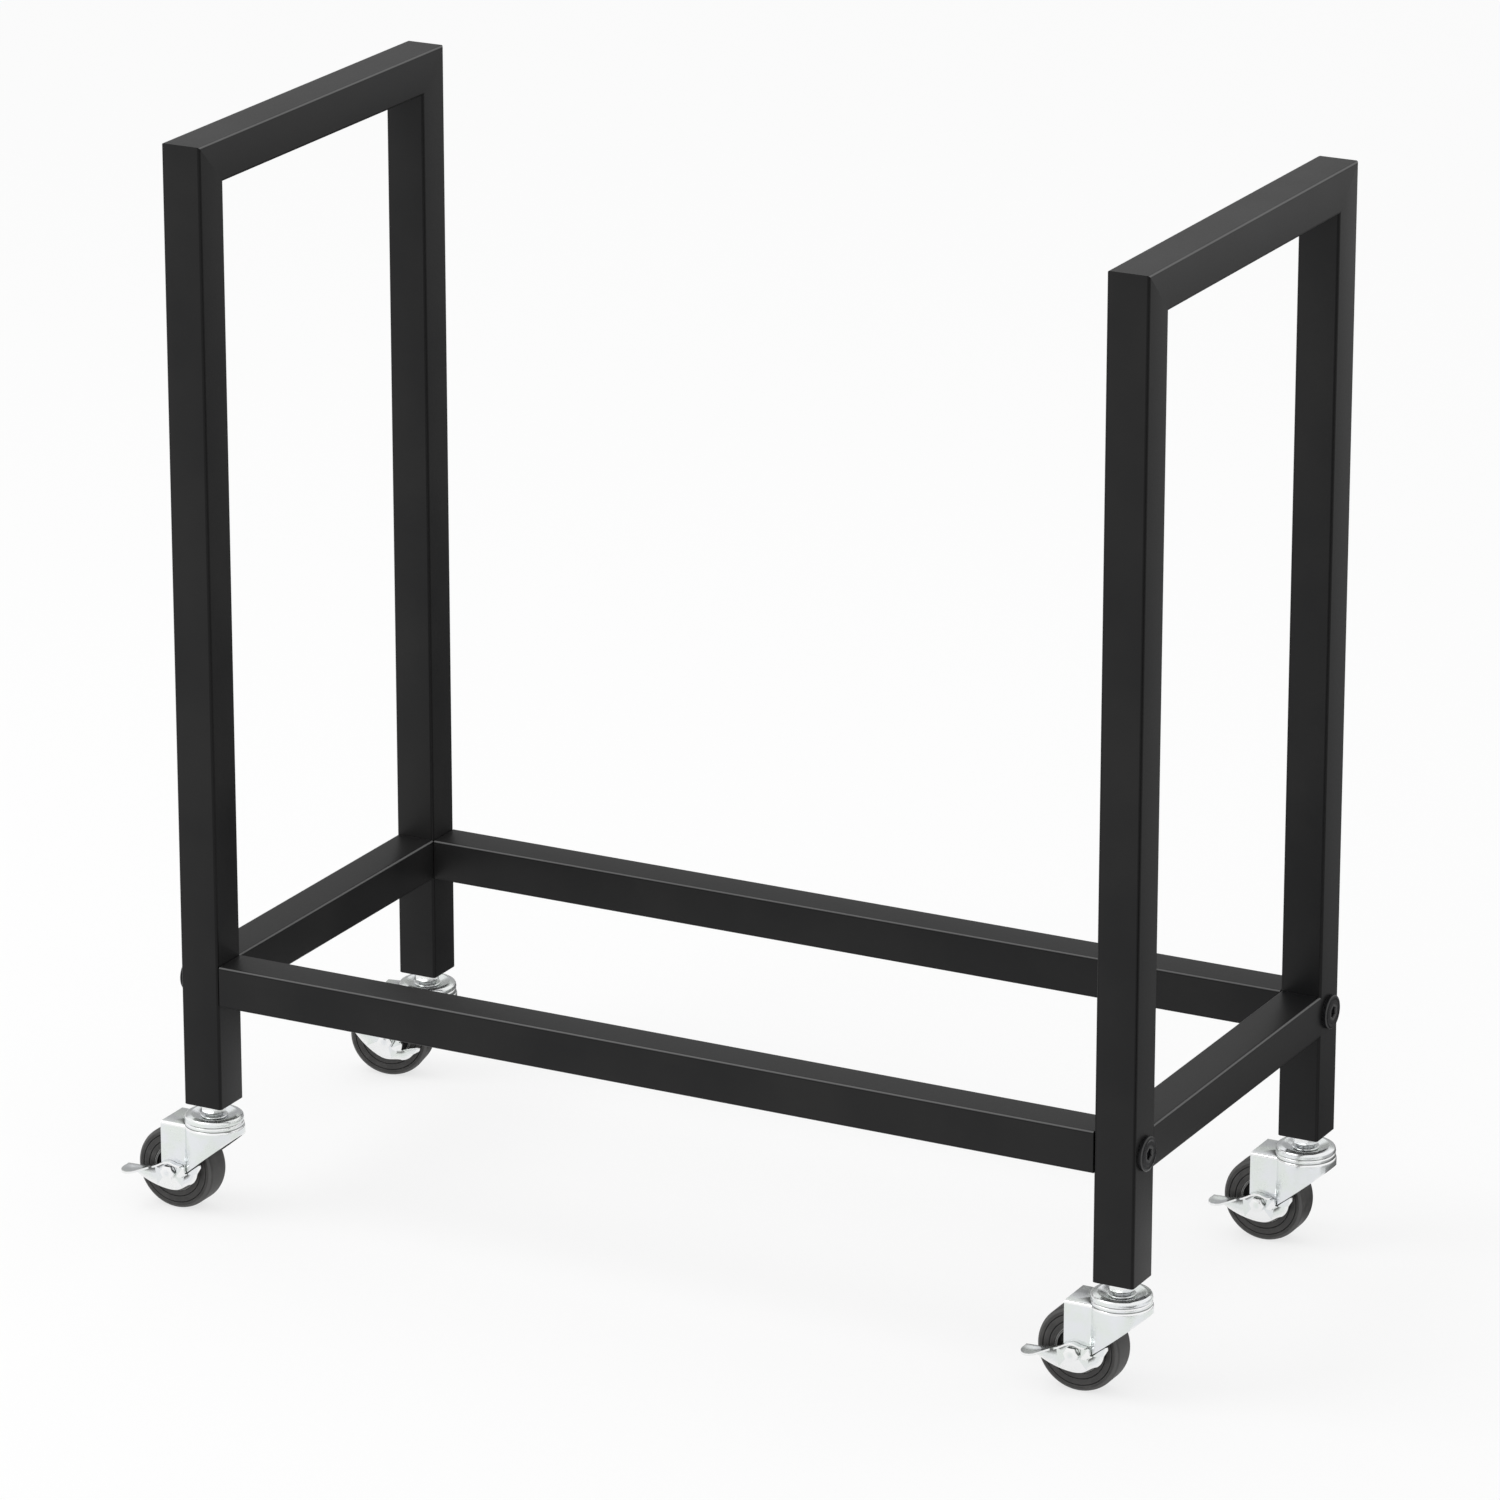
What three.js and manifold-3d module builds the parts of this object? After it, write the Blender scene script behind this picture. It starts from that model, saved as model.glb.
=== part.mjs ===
// A fireside log cart. Two welded end frames of square steel tube stand on four
// braked swivel casters, and two bolted rails join them into an open cart that
// firewood lies across. Millimetres, +Z up, floor at z = 0. X runs along the
// cart, and -Y is the side that the brake levers face.

import * as THREE from 'three';
import { mergeVertices } from 'three/addons/utils/BufferGeometryUtils.js';
import Module from 'manifold-3d';

const wasm = await Module();
wasm.setup();

// ---------------------------------------------------------------- dimensions

// Frame
const cartLength = 610; // over the posts, along X
const cartDepth = 275; // over the posts, along Y
const cartHeight = 645; // floor to the top of the end frames
const deckHeight = 157.5; // floor to the top of the rails and crossbars
const tubeSize = 25;
const tubeWall = 1.5;
const tubeCorner = 1.5; // outside corner radius of the tube
const boreCorner = 0.6; // inside corner radius of the tube
const weldSeam = 0.2; // gap left between welded pieces
const boltedSeam = 0.3; // gap between a rail's end and its post

// Rail bolts and the threaded blocks that they pull on
const railBoltDiameter = 8;
const railBoltHeadDiameter = 20;
const railBoltHeadHeight = 3;
const railBoltRim = 1.6; // rounding of the head's rim
const railBoltSeat = 0.1; // gap between a head and its post
const railBoltGrip = 14; // how far the bolt reaches into the rail
const keySocketFlats = 6;
const keySocketDepth = 2;
const railNutLength = 12;
const railNutInset = 1; // from the rail's end
const plugGap = 0.3; // between a block and the tube around it
const plugCorner = 1; // corner radius of a block
const threadGap = 0.15; // radial, between a bolt and its thread

// Stem sockets in the posts' lower ends
const socketHeight = 24;
const socketInset = 0.3; // how far a socket sits up inside its post

// Casters
const casterHeight = 68.5; // floor to the lower end of the post
const wheelDiameter = 50;
const treadWidth = 18;
const trail = 22.5; // stem axis to axle
const axleDiameter = 5;
const axleHeadFlats = 8;
const axleHeadHeight = 3.5;
const axleNutHeight = 4;
const axleTail = 1.2; // thread that stands out of the nut

// Fork, pressed from sheet
const forkSheet = 1.8;
const forkWidth = 26; // over the legs
const forkPlateHeight = 55; // floor to the top plate
const forkBend = 1.9; // outside radius of the bend round the plate
const forkFlare = 3; // radius where a leg's flat runs into the round skirt
const skirtRadius = 18;
const skirtDepth = 5; // at the round end
const legEndRadius = 6.5; // round end of a leg, about the axle
const raceRadius = 17.4; // raised ball race on the plate
const raceHeight = 2.2;
const raceEdge = 0.5; // chamfer round the race
const stemHoleRadius = 6.4;

// Swivel cap, ball cage and stem
const capRadius = 17.6;
const capSheet = 1.3;
const capGap = 0.4; // between the cap's rim and the race
const capHeight = 3.8;
const capEdge = 2.6; // rounding between the cap's rim and its crown
const capDish = 1.9; // how far the middle of the cap lies below its crown
const ballCount = 6;
const ballDiameter = 1.9;
const ballCircleRadius = 13.2;
const ballGap = 0.1; // between the balls and the race
const cageWidth = 2.6;
const cageThickness = 0.7;
const stemDiameter = 10;
const stemGrip = 22; // how far the stem reaches into the post
const stemNeckRadius = 5.6;
const stemGap = 0.2; // from the stem's flanges to the cap, the fork and the post
const collarFlats = 14; // across the flats of the stem's collar
const washerRadius = 8;
const washerHeight = 1.3;
const washerGroove = 0.6; // between the washer face and the collar
const rivetRadius = 9;
const rivetHeight = 1.5;

// Wheel
const hubRadius = 14; // where the tyre is moulded on
const hubRimWidth = 17.4;
const hubWebWidth = 12;
const hubWebRadius = 12.4; // inside of the hub's rim
const hubBossRadius = 5;
const hubSideGap = 0.4; // between the hub's boss and a leg
const tyreGap = 0.15; // between tyre and hub
const tyreShoulder = 3.4; // rounding between side and tread
const tyreGrooveRadius = 20.4;
const tyreGrooveWidth = 1.6;
const tyreGrooveDepth = 0.8;
const runningGap = 0.1; // radial, between the axle and what turns on it

// Brake lever, pressed from sheet
const leverSheet = 1.2;
const leverGap = 0.3; // to the leg on one side and the bolt's head on the other
const leverDepth = 11.5; // from the axle down to the lowest edge
const leverCrown = 6.6; // from the axle up to the top edge, over the bolt's head
const leverHook = 22; // from the axle to the end of the hook
const lipWidth = 2.2;
const pedalReach = 29; // from the axle to the pedal's end
const pedalWidth = 14; // out from the lever's inner face
const rampRise = 1.4; // height of the pressed ramp beside the bolt
const leverRaise = 28; // degrees, from pressed to raised

// Steps round a full turn, and round a small edge or corner
const wheelSteps = 28;
const capSteps = 20;
const boltSteps = 16;
const pinSteps = 12;
const edgeSteps = 2;

// Each caster: its corner of the cart, and how it stands
const corners = [
  { name: 'front_left', x: -1, y: -1, swivel: 0, raised: false },
  { name: 'front_right', x: 1, y: -1, swivel: 0, raised: false },
  { name: 'rear_right', x: 1, y: 1, swivel: 0, raised: false },
  { name: 'rear_left', x: -1, y: 1, swivel: 12, raised: true },
];

// ------------------------------------------------------------- worked-out sizes

const tubeHalf = tubeSize / 2;
const boreSize = tubeSize - 2 * tubeWall;
const plugSize = boreSize - 2 * plugGap;
const postX = cartLength / 2 - tubeHalf;
const postY = cartDepth / 2 - tubeHalf;
const postLength = cartHeight - casterHeight;
const deckMid = deckHeight - tubeHalf;
const railEnd = cartLength / 2 - tubeSize - boltedSeam;

const axleZ = wheelDiameter / 2;
const legY = forkWidth / 2;
const flareY = legY + forkFlare; // centre of the flare, beside the leg
const flareX = Math.sqrt((skirtRadius + forkFlare) ** 2 - flareY ** 2);
const raceZ = forkPlateHeight + raceHeight;
const capRimZ = raceZ + capGap;
const capCrownZ = capRimZ + capHeight;
const capDishZ = capCrownZ - capDish;
const leverInnerY = legY + leverGap;
const leverOuterY = leverInnerY + leverSheet;
const axleHeadY = leverOuterY + leverGap;
const runningRadius = axleDiameter / 2 + runningGap;

// ------------------------------------------------------------------ materials

const finish = (color, roughness, metalness) =>
  () => new THREE.MeshStandardMaterial({ color, roughness, metalness });

const powderCoat = finish(0x222222, 0.45, 0.2);
const blackSteel = finish(0x161616, 0.35, 0.6);
const plainSteel = finish(0x8f9296, 0.5, 0.8);
const zincPlate = finish(0xcfd2d4, 0.3, 0.9);
const blackNylon = finish(0x1a1a1a, 0.6, 0);
const greyRubber = finish(0x3a3a3c, 0.75, 0);

// -------------------------------------------------------------- solid helpers

// Turns a closed geometry into a solid that can be joined and cut.
function solid(geometry) {
  const bare = geometry.clone();
  bare.deleteAttribute('normal');
  bare.deleteAttribute('uv');
  const merged = mergeVertices(bare, 1e-4);
  return new wasm.Manifold(new wasm.Mesh({
    numProp: 3,
    vertProperties: new Float32Array(merged.attributes.position.array),
    triVerts: new Uint32Array(merged.index.array),
  }));
}

// Turns a solid back into a named mesh.
function mesh(name, body, material) {
  const { vertProperties, triVerts } = body.getMesh();
  const geometry = new THREE.BufferGeometry();
  geometry.setAttribute('position', new THREE.BufferAttribute(new Float32Array(vertProperties), 3));
  geometry.setIndex(new THREE.BufferAttribute(new Uint32Array(triVerts), 1));
  geometry.computeVertexNormals();
  const result = new THREE.Mesh(geometry, material);
  result.name = name;
  return result;
}

// The point at a distance and an angle, in degrees, from a centre.
function polar(radius, angle, centreX = 0, centreY = 0) {
  const turn = THREE.MathUtils.degToRad(angle);
  return [centreX + radius * Math.cos(turn), centreY + radius * Math.sin(turn)];
}

// Points along a round stretch, from one angle to another.
const arc = (centreX, centreY, radius, from, to, steps) => Array.from(
  { length: steps + 1 }, (_, i) => polar(radius, from + ((to - from) * i) / steps, centreX, centreY));

// Points evenly round a circle.
const ring = (radius, count, centreX = 0, centreY = 0) => Array.from(
  { length: count }, (_, i) => polar(radius, (360 * i) / count, centreX, centreY));

const vectors = (points) => points.map(([x, y]) => new THREE.Vector2(x, y));
const outline = (points) => new THREE.Shape(vectors(points));
const hexagon = (acrossFlats) => outline(ring(acrossFlats / Math.sqrt(3), 6));
const circle = (radius, x, y) => outline(ring(radius, pinSteps, x, y));

function roundedSquare(size, radius) {
  const far = size / 2 - radius;
  return outline([
    ...arc(far, -far, radius, -90, 0, edgeSteps),
    ...arc(far, far, radius, 0, 90, edgeSteps),
    ...arc(-far, far, radius, 90, 180, edgeSteps),
    ...arc(-far, -far, radius, 180, 270, edgeSteps),
  ]);
}

const extrude = (shape, depth) =>
  new THREE.ExtrudeGeometry(shape, { depth, bevelEnabled: false, curveSegments: 5 });

// A shape drawn in X and Y, between two heights.
const upright = (shape, low, high) => solid(extrude(shape, high - low).translate(0, 0, low));

// A shape drawn in X and Z, between two places along Y.
const sideways = (shape, low, high) =>
  solid(extrude(shape, high - low).rotateX(Math.PI / 2).translate(0, high, 0));

// A shape drawn in Y and Z, between two places along X.
const lengthways = (shape, low, high) =>
  solid(extrude(shape, high - low).rotateX(Math.PI / 2).rotateZ(Math.PI / 2).translate(low, 0, 0));

// A profile of [radius, place] points turned about Y, or about Z.
const turnedY = (profile, steps) => solid(new THREE.LatheGeometry(vectors(profile), steps));
const turnedZ = (profile, steps) =>
  solid(new THREE.LatheGeometry(vectors(profile), steps).rotateX(Math.PI / 2));

// The profile of a plain round bar.
const bar = (radius, low, high) => [[0, low], [radius, low], [radius, high], [0, high]];

// ----------------------------------------------------------------- end frames

function tubeSection() {
  const section = roundedSquare(tubeSize, tubeCorner);
  section.holes.push(roundedSquare(boreSize, boreCorner));
  return section;
}

// Cuts one end of a tube along Z at 45 degrees. end is 1 for its upper end and
// -1 for its lower one, and longSide is the side in Y that keeps its length.
function mitre(geometry, length, end, longSide) {
  const { position } = geometry.attributes;
  for (let i = 0; i < position.count; i += 1) {
    const z = position.getZ(i);
    if ((z - length / 2) * end > 0) {
      position.setZ(i, z - end * (tubeHalf - longSide * position.getY(i)));
    }
  }
  return geometry;
}

// A post, up from its lower end, with clear holes for the rail bolt.
function postBody() {
  const tube = solid(mitre(extrude(tubeSection(), postLength), postLength, 1, -1));
  const boltHole = circle(railBoltDiameter / 2 + threadGap, 0, deckMid - casterHeight);
  return tube.subtract(lengthways(boltHole, -tubeSize, tubeSize));
}

// The bar across the top of an end frame, mitred at both ends.
function topBarBody() {
  const length = cartDepth - 2 * weldSeam;
  const tube = mitre(mitre(extrude(tubeSection(), length), length, 1, 1), length, -1, 1);
  return solid(tube.translate(0, 0, -length / 2).rotateX(Math.PI / 2));
}

// The bar between the posts at deck height.
function crossbarBody() {
  const half = cartDepth / 2 - tubeSize - weldSeam;
  return sideways(tubeSection(), -half, half);
}

// The threaded plug inside a post's lower end.
function stemSocketBody() {
  const plug = upright(roundedSquare(plugSize, plugCorner), socketInset, socketInset + socketHeight);
  return plug.subtract(turnedZ(bar(stemDiameter / 2 + threadGap, -1, socketHeight + 2), pinSteps));
}

function endFrames() {
  const group = new THREE.Group();
  for (const { name, x, y } of corners) {
    const post = mesh(`post_${name}`, postBody(), powderCoat());
    post.position.set(x * postX, y * postY, casterHeight);
    post.rotation.z = y < 0 ? 0 : Math.PI;
    const socket = mesh(`stem_socket_${name}`, stemSocketBody(), plainSteel());
    socket.position.copy(post.position);
    group.add(post, socket);
  }
  for (const [side, sign] of [['left', -1], ['right', 1]]) {
    const topBar = mesh(`top_bar_${side}`, topBarBody(), powderCoat());
    topBar.position.set(sign * postX, 0, cartHeight - tubeHalf);
    const crossbar = mesh(`crossbar_${side}`, crossbarBody(), powderCoat());
    crossbar.position.set(sign * postX, 0, deckMid);
    group.add(topBar, crossbar);
  }
  return group;
}

// ---------------------------------------------------------------------- rails

// A wide, low head with a round rim and a key socket, above z = 0.
function railBoltBody() {
  const shankEnd = -(tubeSize + boltedSeam + railBoltGrip);
  const rimRadius = railBoltHeadDiameter / 2 - railBoltRim;
  const bolt = turnedZ([
    [0, shankEnd],
    [railBoltDiameter / 2, shankEnd],
    [railBoltDiameter / 2, 0],
    [railBoltHeadDiameter / 2, 0],
    ...arc(rimRadius, railBoltHeadHeight - railBoltRim, railBoltRim, 0, 90, edgeSteps),
    [0, railBoltHeadHeight],
  ], boltSteps);
  const socketZ = railBoltHeadHeight - keySocketDepth;
  return bolt.subtract(upright(hexagon(keySocketFlats), socketZ, railBoltHeadHeight + 1));
}

// The threaded block fixed inside a rail's end, from x = 0 back along -X.
function railNutBody() {
  const block = lengthways(roundedSquare(plugSize, plugCorner), -railNutLength, 0);
  return block.subtract(lengthways(circle(railBoltDiameter / 2 + threadGap), -railNutLength - 1, 1));
}

function rails() {
  const group = new THREE.Group();
  for (const [side, sign] of [['front', -1], ['rear', 1]]) {
    const rail = mesh(`rail_${side}`, lengthways(tubeSection(), -railEnd, railEnd), powderCoat());
    rail.position.set(0, sign * postY, deckMid);
    group.add(rail);
  }
  for (const { name, x, y } of corners) {
    const bolt = mesh(`rail_bolt_${name}`, railBoltBody(), blackSteel());
    bolt.position.set(x * (cartLength / 2 + railBoltSeat), y * postY, deckMid);
    bolt.rotation.y = (x * Math.PI) / 2;
    const nut = mesh(`rail_nut_${name}`, railNutBody(), plainSteel());
    nut.position.set(x * (railEnd - railNutInset), y * postY, deckMid);
    nut.rotation.z = x > 0 ? 0 : Math.PI;
    group.add(bolt, nut);
  }
  return group;
}

// --------------------------------------------------- caster: the fixed pieces

// The stem: a riveted head inside the fork, the neck, a washer face on the cap,
// the hexagon collar and the threaded shank.
function stemBody() {
  const rivetZ = raceZ - forkSheet - stemGap;
  const washerZ = capDishZ + stemGap;
  const collarZ = washerZ + washerHeight + washerGroove;
  const tipZ = casterHeight + stemGrip;
  const turned = turnedZ([
    [0, rivetZ - rivetHeight],
    [rivetRadius, rivetZ - rivetHeight],
    [rivetRadius, rivetZ],
    [stemNeckRadius, rivetZ],
    [stemNeckRadius, washerZ],
    [washerRadius, washerZ],
    [washerRadius, washerZ + washerHeight],
    [stemNeckRadius, washerZ + washerHeight],
    [stemNeckRadius, collarZ + 1],
    [stemDiameter / 2, collarZ + 1],
    [stemDiameter / 2, tipZ],
    [0, tipZ],
  ], pinSteps);
  return turned.add(upright(hexagon(collarFlats), collarZ, casterHeight - stemGap));
}

// The pressed cap over the ball race: a dished middle under the stem's washer
// face, a rounded crown, and a rim that stops just above the race.
function swivelCapBody() {
  const bore = stemNeckRadius + stemGap;
  const dishRadius = washerRadius + 0.5;
  const crownRadius = capRadius - capEdge;
  return turnedZ([
    [bore, capDishZ - capSheet],
    [dishRadius, capDishZ - capSheet],
    [crownRadius, capCrownZ - capSheet],
    [capRadius - capSheet, capRimZ],
    [capRadius, capRimZ],
    ...arc(crownRadius, capCrownZ - capEdge, capEdge, 0, 90, edgeSteps),
    [dishRadius, capDishZ],
    [bore, capDishZ],
    [bore, capDishZ - capSheet],
  ], capSteps);
}

// ------------------------------------------------- caster: the swivelling fork

// The balls in their cage, just above the race.
function ballCageBody() {
  const midZ = raceZ + ballGap + ballDiameter / 2;
  const [low, high] = [midZ - cageThickness / 2, midZ + cageThickness / 2];
  const [inner, outer] = [ballCircleRadius - cageWidth / 2, ballCircleRadius + cageWidth / 2];
  let cage = turnedZ([[inner, low], [outer, low], [outer, high], [inner, high], [inner, low]], pinSteps);
  for (const [x, y] of ring(ballCircleRadius, ballCount)) {
    cage = cage.add(solid(new THREE.OctahedronGeometry(ballDiameter / 2).translate(x, y, midZ)));
  }
  return cage;
}

// The fork from above, inset by some thickness: two straight sides that flare
// into a round end about the stem. It runs on past the legs' free edge.
function forkOutline(inset) {
  const half = legY - inset;
  const flare = forkFlare + inset;
  const meet = THREE.MathUtils.radToDeg(Math.atan2(flareY, flareX));
  const far = -trail - wheelDiameter;
  return outline([
    [far, -half],
    ...arc(-flareX, -flareY, flare, 90, meet, edgeSteps),
    ...arc(0, 0, skirtRadius - inset, meet - 180, 180 - meet, pinSteps),
    ...arc(-flareX, flareY, flare, -meet, -90, edgeSteps),
    [far, half],
  ]);
}

// The slanting edge of a leg: the angle at which it leaves the leg's round end,
// and the straight line z = rise * x + base that it follows, from the axle.
function legSlant() {
  const dx = skirtRadius + trail;
  const dz = forkPlateHeight - skirtDepth - axleZ;
  const angle = Math.atan2(dz, dx) - Math.acos(legEndRadius / Math.hypot(dx, dz));
  const rise = -1 / Math.tan(angle);
  return { angle, rise, base: legEndRadius * (Math.sin(angle) - rise * Math.cos(angle)) };
}

// The fork from the side: a level top, a short skirt at the round end, and a leg
// that narrows to a round end about the axle.
function forkSide() {
  const skirtZ = forkPlateHeight - skirtDepth;
  const past = skirtRadius + 1;
  return outline([
    [-trail - legEndRadius, forkPlateHeight],
    ...arc(-trail, axleZ, legEndRadius, 180, 360 + THREE.MathUtils.radToDeg(legSlant().angle), 8),
    [skirtRadius, skirtZ],
    [past, skirtZ],
    [past, forkPlateHeight],
  ]);
}

function forkBody() {
  const under = axleZ - legEndRadius - forkBend - 1;
  const blank = new THREE.ExtrudeGeometry(forkOutline(0), {
    depth: forkPlateHeight - forkBend - under,
    bevelThickness: forkBend,
    bevelSize: forkBend,
    bevelOffset: -forkBend,
    bevelSegments: edgeSteps,
  });
  const inside = upright(forkOutline(forkSheet), under - forkBend - 1, forkPlateHeight - forkSheet);
  const race = turnedZ([
    [0, forkPlateHeight - 1],
    [raceRadius, forkPlateHeight - 1],
    [raceRadius, raceZ - raceEdge],
    [raceRadius - raceEdge, raceZ],
    [0, raceZ],
  ], capSteps);
  const underRace = turnedZ(bar(raceRadius - forkSheet, under, raceZ - forkSheet), capSteps);
  const stemHole = turnedZ(bar(stemHoleRadius, under, raceZ + 1), pinSteps);
  const axleHole = sideways(circle(axleDiameter / 2 + threadGap, -trail, axleZ), -forkWidth, forkWidth);
  return solid(blank.translate(0, 0, under))
    .intersect(sideways(forkSide(), -skirtRadius - 1, skirtRadius + 1))
    .subtract(inside)
    .add(race)
    .subtract(underRace)
    .subtract(stemHole)
    .subtract(axleHole);
}

// The axle bolt, with its head on the lever's side.
function axleBoltBody() {
  const tip = legY + leverGap + axleNutHeight + axleTail;
  const shank = turnedY(bar(axleDiameter / 2, -axleHeadY - 1, tip), pinSteps);
  return shank.add(sideways(hexagon(axleHeadFlats), -axleHeadY - axleHeadHeight, -axleHeadY));
}

function axleNutBody() {
  const low = legY + leverGap;
  const thread = sideways(circle(axleDiameter / 2 + threadGap), low - 1, low + axleNutHeight + 1);
  return sideways(hexagon(axleHeadFlats), low, low + axleNutHeight).subtract(thread);
}

// ---------------------------------------------------------------- caster: wheel

// A whole wheel profile from one side of it, which runs from the bore outwards.
function bothSides(half) {
  const mirrored = half.map(([radius, y]) => [radius, -y]);
  return [...mirrored, ...half.slice().reverse(), mirrored[0]];
}

// A hub with a long boss, a thin web and a rim.
function hubBody() {
  const bossY = legY - forkSheet - hubSideGap;
  return turnedY(bothSides([
    [runningRadius, bossY],
    [hubBossRadius, bossY],
    [hubBossRadius, hubWebWidth / 2],
    [hubWebRadius, hubWebWidth / 2],
    [hubWebRadius, hubRimWidth / 2],
    [hubRadius, hubRimWidth / 2],
  ]), boltSteps);
}

// The tyre: flat sides with a round groove in each, and rounded shoulders.
function tyreBody() {
  const sideY = treadWidth / 2;
  return turnedY(bothSides([
    [hubRadius + tyreGap, sideY],
    [tyreGrooveRadius - tyreGrooveWidth / 2, sideY],
    [tyreGrooveRadius, sideY - tyreGrooveDepth],
    ...arc(wheelDiameter / 2 - tyreShoulder, sideY - tyreShoulder, tyreShoulder, 90, 0, edgeSteps),
  ]), wheelSteps);
}

// ---------------------------------------------------------- caster: brake lever

// The lever is drawn in X and Z from the axle, with its pedal level.

// How far from the axle a face that stands out from the leg by some height stays
// clear of the leg's flare while the lever tips.
function clearOfFlare(height) {
  const onFlare = flareX - Math.sqrt(forkFlare ** 2 - Math.max(forkFlare - height, 0) ** 2);
  const onSkirt = Math.sqrt(skirtRadius ** 2 - (legY + height) ** 2);
  return trail - Math.max(onFlare, onSkirt) - leverGap;
}

// A height just below the leg's slanting edge.
function underSlant(x) {
  const { rise, base } = legSlant();
  return [x, rise * x + base - 2 * leverGap];
}

// The top edge: level along the pedal, and up over the head of the bolt.
function leverTop() {
  return [
    [-pedalReach, -0.2],
    [-pedalReach * 0.55, 0.3],
    ...arc(0, 0, leverCrown, 132, 62, 4),
    polar(clearOfFlare(leverGap), 31),
  ];
}

// The flat of the lever: a root under the pedal, a round lobe below the axle, and
// a hook that lies along the leg's slanting edge.
function leverPlate() {
  const rootX = -pedalReach * 0.78;
  const [hookX, hookZ] = underSlant(leverHook);
  const shape = new THREE.Shape();
  shape.moveTo(rootX, -4.6);
  shape.bezierCurveTo(-15, -leverDepth * 0.8, -6, -leverDepth, 1, -leverDepth);
  shape.bezierCurveTo(8, -leverDepth, 10, -leverDepth * 0.6, 14.6, -leverDepth * 0.5);
  shape.quadraticCurveTo(18, -3.6, hookX - 2.4, hookZ - 7);
  shape.lineTo(hookX, hookZ - 3);
  shape.lineTo(hookX - 0.4, hookZ - 1);
  shape.lineTo(...underSlant(leverHook - 1.6));
  shape.lineTo(...underSlant(clearOfFlare(leverGap)));
  for (const [x, z] of leverTop().slice(1).reverse()) {
    shape.lineTo(x, z);
  }
  shape.lineTo(rootX, -0.1);
  return shape;
}

// The pressed ramp beside the bolt. Its face stands out further than the plate's,
// so it may reach a little further along the flare.
function leverRamp() {
  const left = axleHeadFlats * 0.7;
  const right = clearOfFlare(leverOuterY - legY);
  const shape = new THREE.Shape();
  shape.moveTo(left, -1.4);
  shape.quadraticCurveTo(right - 1.5, -2.4, ...underSlant(right + 2));
  shape.lineTo(...underSlant(right));
  shape.lineTo(...polar(right - 0.2, 24));
  shape.lineTo(left, leverCrown - 1.2);
  return shape;
}

// The pedal and the lip from above, in X and distance out from the wheel: a broad
// tab with a round end, which draws in to a narrow lip over the bolt's head.
function pedalPlan() {
  const out = leverInnerY + pedalWidth;
  const lip = leverOuterY + lipWidth;
  const lipEnd = clearOfFlare(leverGap) + 1;
  const shape = new THREE.Shape();
  shape.moveTo(lipEnd, leverInnerY);
  shape.lineTo(lipEnd, lip - 0.8);
  shape.lineTo(leverCrown, lip);
  shape.lineTo(-pedalReach * 0.4, lip);
  shape.bezierCurveTo(-pedalReach * 0.56, lip + 0.6, -pedalReach * 0.6, out, -pedalReach * 0.78, out);
  shape.bezierCurveTo(-pedalReach * 0.9, out, -pedalReach, out - 4.5, -pedalReach, out - 9);
  shape.lineTo(-pedalReach, leverInnerY);
  return shape;
}

function leverBody() {
  const top = leverTop();
  const strip = outline([...top, ...top.map(([x, z]) => [x, z - leverSheet]).reverse()]);
  const plan = upright(pedalPlan(), -leverDepth, leverDepth).mirror([0, 1, 0]);
  const lip = sideways(strip, -leverInnerY - pedalWidth - 1, -leverInnerY).intersect(plan);
  const plate = sideways(leverPlate(), -leverOuterY, -leverInnerY);
  const ramp = sideways(leverRamp(), -leverOuterY - rampRise, -leverOuterY + leverGap);
  const bore = sideways(circle(runningRadius), -leverOuterY - 1, -leverInnerY + 1);
  return plate.add(lip).add(ramp).subtract(bore);
}

// --------------------------------------------------------------------- casters

// One caster, with the floor at z = 0. Its stem and cap stay with the post, the
// fork swivels about the stem, the wheel turns on the axle and the lever tips.
function caster({ name, x, y, swivel, raised }) {
  const fixed = new THREE.Group();
  fixed.position.set(x * postX, y * postY, 0);
  fixed.add(mesh(`caster_stem_${name}`, stemBody(), zincPlate()));
  fixed.add(mesh(`swivel_cap_${name}`, swivelCapBody(), zincPlate()));

  const turning = new THREE.Group();
  turning.rotation.z = THREE.MathUtils.degToRad(swivel);
  turning.add(mesh(`ball_cage_${name}`, ballCageBody(), plainSteel()));
  turning.add(mesh(`fork_${name}`, forkBody(), zincPlate()));
  fixed.add(turning);

  const axle = new THREE.Group();
  axle.position.set(-trail, 0, axleZ);
  axle.add(mesh(`axle_bolt_${name}`, axleBoltBody(), zincPlate()));
  axle.add(mesh(`axle_nut_${name}`, axleNutBody(), zincPlate()));
  axle.add(mesh(`wheel_hub_${name}`, hubBody(), blackNylon()));
  axle.add(mesh(`tyre_${name}`, tyreBody(), greyRubber()));
  turning.add(axle);

  const lever = mesh(`brake_lever_${name}`, leverBody(), zincPlate());
  lever.rotation.y = THREE.MathUtils.degToRad(raised ? leverRaise : 0);
  axle.add(lever);
  return fixed;
}

// ------------------------------------------------------------------- the cart

const cart = new THREE.Group();
cart.add(endFrames(), rails());
for (const corner of corners) {
  cart.add(caster(corner));
}

// The origin lies on the floor, under the middle of everything above it.
cart.updateMatrixWorld(true);
const extent = new THREE.Box3().setFromObject(cart, true);
cart.position.set(-(extent.min.x + extent.max.x) / 2, -(extent.min.y + extent.max.y) / 2, 0);
cart.updateMatrixWorld(true);

export default cart;
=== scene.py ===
"""A fireside log cart: two end frames of black square tube on four braked casters.

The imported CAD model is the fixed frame. This script dresses it: it builds the
visible pieces in mesh code, in millimetres about their own axes, stands them where
the CAD solids are, and gives every piece a procedural finish.
"""

import logging
import math
from collections.abc import Iterable, Mapping, Sequence
from dataclasses import dataclass, field
from enum import Enum
from typing import Any

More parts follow.
